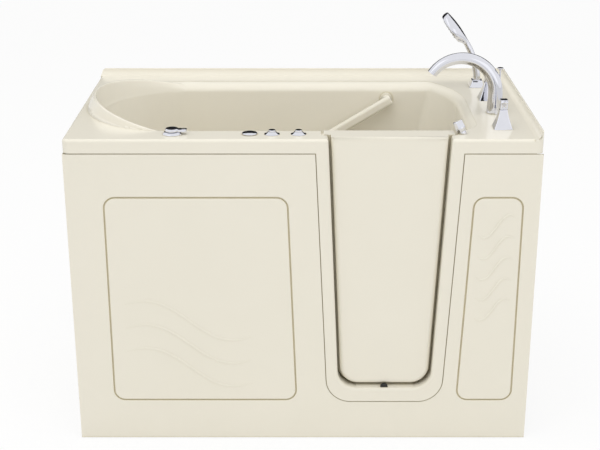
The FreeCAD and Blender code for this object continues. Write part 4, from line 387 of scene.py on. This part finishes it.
def skin(node: str, finish: Finish, sharp_deg: float) -> bpy.types.Object:
    """Makes the smooth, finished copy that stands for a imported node.

    Args:
        node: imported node.
        finish: its finish.
        sharp_deg: angle above which an edge stays sharp.

    Returns:
        The new piece.
    """
    source = frame["nodes"][node]
    piece = source.copy()
    piece.data = source.data.copy()
    piece.name = node + "_skin"
    for key in list(piece.keys()):
        del piece[key]
    piece.parent = None
    bpy.context.scene.collection.objects.link(piece)
    take(piece)
    bpy.ops.object.mode_set(mode="EDIT")
    bpy.ops.mesh.select_all(action="SELECT")
    bpy.ops.mesh.remove_doubles(threshold=MERGE_MM * MM)
    bpy.ops.object.mode_set(mode="OBJECT")
    bpy.ops.object.shade_smooth_by_angle(angle=math.radians(sharp_deg))
    even = piece.modifiers.new("even_shading", "WEIGHTED_NORMAL")
    even.keep_sharp = True
    even.weight = FACE_WEIGHT
    bpy.ops.object.modifier_apply(modifier=even.name)
    level_shading(piece.data)
    piece.data.materials.clear()
    piece.data.materials.append(finish.material())
    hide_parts(node)
    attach(piece, body_of_node(node))
    LOG.info("%s wears %s", node, finish.name)
    return piece


def finish_off(piece: bpy.types.Object, name: str, finish: Finish, body: str, edge_mm: float) -> None:
    """Eases the edges of a modelled piece, dresses it and lets it ride on its body.

    Args:
        piece: modelled piece.
        name: its name.
        finish: its finish.
        body: the body that carries it.
        edge_mm: width of the eased edge.
    """
    take(piece)
    ease = piece.modifiers.new("eased_edges", "BEVEL")
    ease.width = edge_mm * MM
    ease.segments = EASE_STEPS
    ease.limit_method = "ANGLE"
    bpy.ops.object.modifier_apply(modifier=ease.name)
    bpy.ops.object.shade_smooth_by_angle(angle=math.radians(SHARP_DEG))
    piece.name = name
    piece.data.name = name
    piece.data.materials.clear()
    piece.data.materials.append(finish.material())
    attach(piece, body)
    LOG.info("%s is modelled in %s", name, finish.name)


def copies(model: bpy.types.Object, places: list[Vector]) -> list[bpy.types.Object]:
    """Sets copies of a piece that was modelled at the origin, each with its own mesh.

    Args:
        model: modelled piece, which is used up.
        places: where the copies go.

    Returns:
        The copies, in the places' order.
    """
    made = []
    for place in places:
        piece = model.copy()
        piece.data = model.data.copy()
        piece.data.transform(Matrix.Translation(place))
        bpy.context.scene.collection.objects.link(piece)
        made.append(piece)
    bpy.data.objects.remove(model)
    return made


def same(finish: Finish, *nodes: str) -> dict[str, Finish]:
    """Pairs several nodes with one finish."""
    return {node: finish for node in nodes}


@dataclass
class SubAssembly:
    """Pieces that are fitted together, by finish."""

    name: str
    finishes: dict[str, Finish] = field(default_factory=dict)
    sharp_deg: float = SHARP_DEG
    skins: dict[str, bpy.types.Object] = field(default_factory=dict, init=False)

    def build(self) -> None:
        """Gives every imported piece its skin, then models the small pieces."""
        for node, finish in self.finishes.items():
            self.skins[node] = skin(node, finish, self.sharp_deg)
        self.model()
        LOG.info("%s is done", self.name)

    def model(self) -> None:
        """Models the small pieces; there are none by default."""


@dataclass
class Moulding(SubAssembly):
    """Shell, skirts, door skins and grab bar in acrylic, with laminate behind the shell and skirts."""

    name: str = "moulding"
    finishes: dict[str, Finish] = field(default_factory=lambda: same(
        ACRYLIC, "tub_shell", "front_skirt", "end_skirt", "door_outer_shell", "door_inner_liner", "grab_bar"))
    probe_mm: float = 0.5
    facing: float = 0.5

    def model(self) -> None:
        """Lays the laminate on the shell's underside and on the backs of the skirts."""
        shell = self.skins["tub_shell"].data
        corners = [spot.co for spot in shell.vertices]
        tree = BVHTree.FromPolygons(corners, [face.vertices for face in shell.polygons])
        up = Vector((0, 0, 1))
        self.back("tub_shell", lambda face: tree.ray_cast(face.center + face.normal * self.probe_mm * MM, up)[0])
        self.back("front_skirt", lambda face: face.normal.y > self.facing)
        self.back("end_skirt", lambda face: face.normal.x > self.facing)

    def back(self, node: str, hidden: Callable[[bpy.types.MeshPolygon], Any]) -> None:
        """Gives a skin's hidden faces the laminate.

        Args:
            node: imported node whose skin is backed.
            hidden: says whether a face is on the hidden side.
        """
        mesh = self.skins[node].data
        mesh.materials.append(LAMINATE.material())
        for face in mesh.polygons:
            face.material_index = int(bool(hidden(face)))
        LOG.info("%s is backed with %s", node, LAMINATE.name)


@dataclass
class DoorFittings(SubAssembly):
    """Seal, weep plug, hinges and latch of the door."""

    name: str = "door fittings"
    finishes: dict[str, Finish] = field(default_factory=lambda: {
        "door_seal": SILICONE,
        "sill_weep_plug": RUBBER,
        **same(STAINLESS, "hinge_frame_leaves", "hinge_door_leaves", "hinge_pins", "hinge_frame_screws",
               "hinge_door_screws", "latch_cam", "latch_keeper"),
        **same(CHROME, "latch_rose", "latch_lever"),
    })


@dataclass
class DeckControls(SubAssembly):
    """Diverter, air control, air buttons and waste dial, with the nuts under the front deck."""

    name: str = "deck controls"
    finishes: dict[str, Finish] = field(default_factory=lambda: same(
        CHROME, "jet_diverter_valve", "jet_diverter_lever", "air_control_housing", "air_control_knob",
        "air_button_bells", "air_button_left", "air_button_right", "waste_control", "waste_knob"))
    under_deck_mm: float = 939.0
    row_y_mm: float = -322.0
    row_x_mm: tuple[float, ...] = (-369.0, -150.0, -87.0, -12.0)
    across_mm: float = 41.0
    sides: int = 6
    hole_r_mm: float = 15.1
    hole_sides: int = 24
    height_mm: float = 9.0
    edge_mm: float = 0.8

    def model(self) -> None:
        """Models one six-sided lock nut and copies it under each control of the row."""
        deselect()
        corner = self.across_mm / 2 / math.cos(math.pi / self.sides) * MM
        bpy.ops.mesh.primitive_circle_add(vertices=self.sides, radius=corner)
        nut = bpy.context.active_object
        bpy.ops.object.mode_set(mode="EDIT")
        bpy.ops.mesh.primitive_circle_add(vertices=self.hole_sides, radius=self.hole_r_mm * MM)
        bpy.ops.mesh.select_all(action="SELECT")
        bpy.ops.mesh.bridge_edge_loops()
        bpy.ops.mesh.select_all(action="SELECT")
        bpy.ops.mesh.extrude_region_move(TRANSFORM_OT_translate={"value": (0, 0, -self.height_mm * MM)})
        bpy.ops.mesh.select_all(action="SELECT")
        bpy.ops.mesh.normals_make_consistent(inside=False)
        bpy.ops.object.mode_set(mode="OBJECT")
        places = [Vector((x, self.row_y_mm, self.under_deck_mm)) * MM for x in self.row_x_mm]
        for number, piece in enumerate(copies(nut, places), 1):
            finish_off(piece, f"deck_lock_nut_{number}", BRASS, body_of_node("tub_shell"), self.edge_mm)


@dataclass
class TapSet(SubAssembly):
    """Taps, spout and hand shower on the tap-end deck, with the flow former in the spout."""

    name: str = "tap set"
    finishes: dict[str, Finish] = field(default_factory=lambda: {
        **same(CHROME, "tap_bases", "hot_lever", "cold_lever", "spout", "lift_knob", "hand_shower",
               "hand_shower_holder"),
        "tap_valves": BRASS,
        "spray_face": SPRAY,
    })
    sharp_deg: float = 36.0
    mouth_mm: tuple[float, float, float] = (382.78, -96.0, 1064.16)
    flow: tuple[float, float, float] = (-0.587, 0.0, -0.809)
    former_r_mm: float = 11.3
    former_sides: int = 40
    former_deep_mm: float = 7.0
    former_sunk_mm: float = 1.2
    ring_mm: float = 1.9
    ring_step_mm: float = 0.8
    rings: int = 4
    edge_mm: float = 0.2

    def model(self) -> None:
        """Models the ringed former that evens the flow inside the spout's mouth."""
        deselect()
        flow = Vector(self.flow).normalized()
        middle = Vector(self.mouth_mm) * MM - flow * (self.former_sunk_mm + self.former_deep_mm / 2) * MM
        bpy.ops.mesh.primitive_cylinder_add(
            vertices=self.former_sides, radius=self.former_r_mm * MM, depth=self.former_deep_mm * MM,
            location=middle, rotation=flow.to_track_quat("Z", "Y").to_euler())
        former = bpy.context.active_object
        bpy.ops.object.transform_apply(location=True, rotation=True, scale=True)
        pick_faces(former, lambda face: face.normal.dot(flow) > FACING)
        for number in range(self.rings):
            bpy.ops.mesh.inset(thickness=self.ring_mm * MM)
            step = self.ring_step_mm * (1 if number % 2 else -1)
            bpy.ops.transform.translate(value=flow * step * MM)
        bpy.ops.object.mode_set(mode="OBJECT")
        finish_off(former, "spout_flow_former", SPRAY, body_of_node("spout"), self.edge_mm)


@dataclass
class JetSystem(SubAssembly):
    """Jets, suction, pump and pipework, with the bolts of the pump's foot."""

    name: str = "jet system"
    finishes: dict[str, Finish] = field(default_factory=lambda: {
        **same(CHROME, "jet_trim_rings", "jet_nozzle_back_head", "jet_nozzle_back_seat",
               "jet_nozzle_foot_front", "jet_nozzle_foot_back", "suction_cover"),
        **same(PIPE, "jet_bodies", "jet_lock_nuts", "suction_body", "suction_pipe", "pressure_pipe"),
        **same(BLACK, "pump_volute", "pump_impeller", "pump_base"),
        "pump_motor": ENAMEL,
    })
    foot_top_mm: float = 96.7
    bolt_x_mm: tuple[float, float] = (-422.0, -174.0)
    bolt_y_mm: tuple[float, float] = (-91.0, 51.0)
    head_r_mm: float = 7.5
    head_sides: int = 6
    head_mm: float = 5.3
    washer_r_mm: float = 9.0
    washer_sides: int = 32
    washer_mm: float = 1.6
    edge_mm: float = 0.5

    def model(self) -> None:
        """Models one six-sided bolt head on its washer and copies it to the corners of the pump's foot."""
        deselect()
        bpy.ops.mesh.primitive_cylinder_add(
            vertices=self.washer_sides, radius=self.washer_r_mm * MM, depth=self.washer_mm * MM,
            location=(0, 0, self.washer_mm / 2 * MM))
        bolt = bpy.context.active_object
        bpy.ops.object.transform_apply(location=True, rotation=True, scale=True)
        bpy.ops.object.mode_set(mode="EDIT")
        bpy.ops.mesh.primitive_cylinder_add(
            vertices=self.head_sides, radius=self.head_r_mm * MM, depth=self.head_mm * MM,
            location=(0, 0, (self.washer_mm + self.head_mm / 2) * MM))
        bpy.ops.object.mode_set(mode="OBJECT")
        top = (self.washer_mm + self.head_mm) * MM
        pick_faces(bolt, lambda face: face.center.z > top - self.edge_mm * MM)
        bpy.ops.mesh.inset(thickness=self.edge_mm * 2 * MM)
        bpy.ops.transform.translate(value=(0, 0, self.edge_mm * MM))
        bpy.ops.object.mode_set(mode="OBJECT")
        places = [Vector((x, y, self.foot_top_mm)) * MM for x in self.bolt_x_mm for y in self.bolt_y_mm]
        for number, piece in enumerate(copies(bolt, places), 1):
            finish_off(piece, f"pump_foot_bolt_{number}", ZINC, body_of_node("pump_base"), self.edge_mm)


@dataclass
class WasteSet(SubAssembly):
    """Drain, waste and overflow pipes."""

    name: str = "waste"
    finishes: dict[str, Finish] = field(default_factory=lambda: {
        **same(CHROME, "drain_flange", "drain_stopper"),
        **same(PIPE, "waste_elbow", "overflow_pipe"),
    })


@dataclass
class SupportFrame(SubAssembly):
    """Steel frame with its brackets, levelling feet and the plugs that close its rails."""

    name: str = "support frame"
    finishes: dict[str, Finish] = field(default_factory=lambda: {
        **same(POWDER, "frame_long_rails", "frame_cross_rails", "frame_uprights", "skirt_brackets"),
        **same(ZINC, "leveling_feet", "foot_lock_nuts"),
    })
    tube_mm: float = 25.0
    flange_mm: float = 3.0
    crown_mm: float = 1.0
    rail_end_mm: float = 633.0
    rail_y_mm: tuple[float, float] = (-328.0, 330.0)
    rail_z_mm: float = 76.2
    edge_mm: float = 0.7

    def model(self) -> None:
        """Models a crowned plug for each end of the rails and copies it to the front and back rail."""
        for side in (-1, 1):
            deselect()
            bpy.ops.mesh.primitive_cube_add(size=self.tube_mm * MM)
            plug = bpy.context.active_object
            bpy.ops.object.mode_set(mode="EDIT")
            bpy.ops.mesh.select_all(action="SELECT")
            bpy.ops.transform.resize(value=(self.flange_mm / self.tube_mm, 1, 1))
            bpy.ops.object.mode_set(mode="OBJECT")
            pick_faces(plug, lambda face: face.normal.x * side > FACING)
            bpy.ops.mesh.inset(thickness=self.flange_mm * MM)
            bpy.ops.transform.translate(value=(self.crown_mm * side * MM, 0, 0))
            bpy.ops.object.mode_set(mode="OBJECT")
            end = (self.rail_end_mm + self.flange_mm / 2) * side
            places = [Vector((end, y, self.rail_z_mm)) * MM for y in self.rail_y_mm]
            for piece, row in zip(copies(plug, places), ("front", "back")):
                name = f"rail_plug_{row}_{'tap' if side > 0 else 'seat'}_end"
                finish_off(piece, name, BLACK, body_of_node("frame_long_rails"), self.edge_mm)


@dataclass(frozen=True)
class Lamp:
    """One soft square lamp, in metres and watts; polished metal shows it if it is mirrored."""

    name: str
    at: tuple[float, float, float]
    aim: tuple[float, float, float]
    size: float
    power: float
    mirrored: bool = True

    def hang(self) -> None:
        """Hangs the lamp at its place, facing its aim."""
        data = bpy.data.lights.new(self.name, "AREA")
        data.shape = "SQUARE"
        data.size = self.size
        data.energy = self.power
        lamp = bpy.data.objects.new(self.name, data)
        bpy.context.scene.collection.objects.link(lamp)
        lamp.location = self.at
        lamp.visible_glossy = self.mirrored
        lamp.rotation_euler = (Vector(self.aim) - Vector(self.at)).to_track_quat("-Z", "Y").to_euler()


@dataclass
class Studio:
    """Floor, light and camera, in metres."""

    floor_half: float = 12.0
    floor_drop: float = 0.0005
    floor_tone: str = "#FBFBFA"
    floor_roughness: float = 0.9
    floor_glow: float = 0.85
    lens_mm: float = 74.6
    sensor_mm: float = 36.0
    camera_at: tuple[float, float, float] = (0.0, -3.696, 1.9434)
    camera_down_deg: float = 20.668
    shift_x: float = -0.00472
    sight: float = 100.0
    ambient: float = 0.80
    card_wide: float = 6.0
    card_high: float = 2.1
    card_at: tuple[float, float, float] = (0.0, 2.6, 2.0)
    card_tone: str = "#1C1C1E"
    lamps: tuple[Lamp, ...] = (
        Lamp("key", at=(-2.2, -2.6, 3.4), aim=(0.0, 0.0, 0.6), size=2.4, power=5.0),
        Lamp("fill", at=(2.6, -3.0, 2.0), aim=(0.0, 0.0, 0.5), size=2.4, power=4.0),
        Lamp("top", at=(0.0, -1.1, 4.0), aim=(0.0, 0.0, 0.6), size=3.0, power=46.0, mirrored=False),
    )

    def world(self) -> None:
        """Makes a white backdrop for the eye and for reflections, and an even light for the rest."""
        world = bpy.data.worlds.new("studio")
        bpy.context.scene.world = world
        world.use_nodes = True
        tree = world.node_tree
        tree.nodes.clear()
        rays = add_node(tree, "ShaderNodeLightPath").outputs
        seen = add_node(tree, "ShaderNodeMath", {"operation": "MAXIMUM"},
                        {0: rays["Is Camera Ray"], 1: rays["Is Glossy Ray"]}).outputs[0]
        seen = add_node(tree, "ShaderNodeMath", {"operation": "MAXIMUM"},
                        {0: seen, 1: rays["Is Transmission Ray"]}).outputs[0]
        level = add_node(tree, "ShaderNodeMapRange", {"To Min": self.ambient, "To Max": 1.0}, {"Value": seen})
        sky = add_node(tree, "ShaderNodeBackground", {"Color": WHITE}, {"Strength": level.outputs["Result"]})
        add_node(tree, "ShaderNodeOutputWorld", None, {"Surface": sky.outputs[0]})

    def floor(self) -> None:
        """Lays a plain white floor that keeps a soft shadow."""
        deselect()
        bpy.ops.mesh.primitive_plane_add(size=2 * self.floor_half, location=(0, 0, -self.floor_drop))
        floor = bpy.context.active_object
        floor.name = "studio_floor"
        material = bpy.data.materials.new("white_studio_floor")
        material.use_nodes = True
        tree = material.node_tree
        shader = tree.nodes["Principled BSDF"]
        shader.inputs["Base Color"].default_value = linear(self.floor_tone)
        shader.inputs["Roughness"].default_value = self.floor_roughness
        rays = add_node(tree, "ShaderNodeLightPath").outputs
        glow = add_node(tree, "ShaderNodeEmission", {"Color": WHITE, "Strength": 1.0})
        share = add_node(tree, "ShaderNodeMath", {"operation": "MULTIPLY", 1: self.floor_glow},
                         {0: rays["Is Camera Ray"]})
        both = add_node(tree, "ShaderNodeMixShader", None,
                        {0: share.outputs[0], 1: shader.outputs[0], 2: glow.outputs[0]})
        tree.links.new(both.outputs[0], tree.nodes["Material Output"].inputs["Surface"])
        floor.data.materials.append(material)

    def card(self) -> None:
        """Stands a dark card behind the tub, seen in mirrors only, for the dark edges of polished metal."""
        deselect()
        bpy.ops.mesh.primitive_plane_add(size=1, location=self.card_at, rotation=(math.pi / 2, 0, 0))
        card = bpy.context.active_object
        card.name = "studio_dark_card"
        card.scale = (self.card_wide, self.card_high, 1)
        bpy.ops.object.transform_apply(location=True, rotation=True, scale=True)
        material = bpy.data.materials.new("dark_studio_card")
        material.use_nodes = True
        shader = material.node_tree.nodes["Principled BSDF"]
        shader.inputs["Base Color"].default_value = linear(self.card_tone)
        shader.inputs["Roughness"].default_value = 1.0
        card.data.materials.append(material)
        card.visible_camera = False
        card.visible_diffuse = False
        card.visible_transmission = False
        card.visible_shadow = False

    def camera(self) -> None:
        """Sets the camera where the photograph was taken from."""
        data = bpy.data.cameras.new("photo_view")
        data.sensor_fit = "HORIZONTAL"
        data.sensor_width = self.sensor_mm
        data.lens = self.lens_mm
        data.shift_x = self.shift_x
        data.clip_end = self.sight
        camera = bpy.data.objects.new("photo_view", data)
        bpy.context.scene.collection.objects.link(camera)
        camera.location = self.camera_at
        camera.rotation_euler = (math.pi / 2 - math.radians(self.camera_down_deg), 0, 0)
        bpy.context.scene.camera = camera

    def build(self) -> None:
        """Sets up the whole studio."""
        self.world()
        self.floor()
        self.card()
        for lamp in self.lamps:
            lamp.hang()
        self.camera()
        bpy.context.scene.view_settings.view_transform = "Standard"


def main() -> None:
    """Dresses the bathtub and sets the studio."""
    logging.basicConfig(level=logging.INFO, format="%(name)s: %(message)s")
    for part in (Moulding(), DoorFittings(), DeckControls(), TapSet(), JetSystem(), WasteSet(), SupportFrame()):
        part.build()
    Studio().build()


if __name__ == "__main__":
    main()
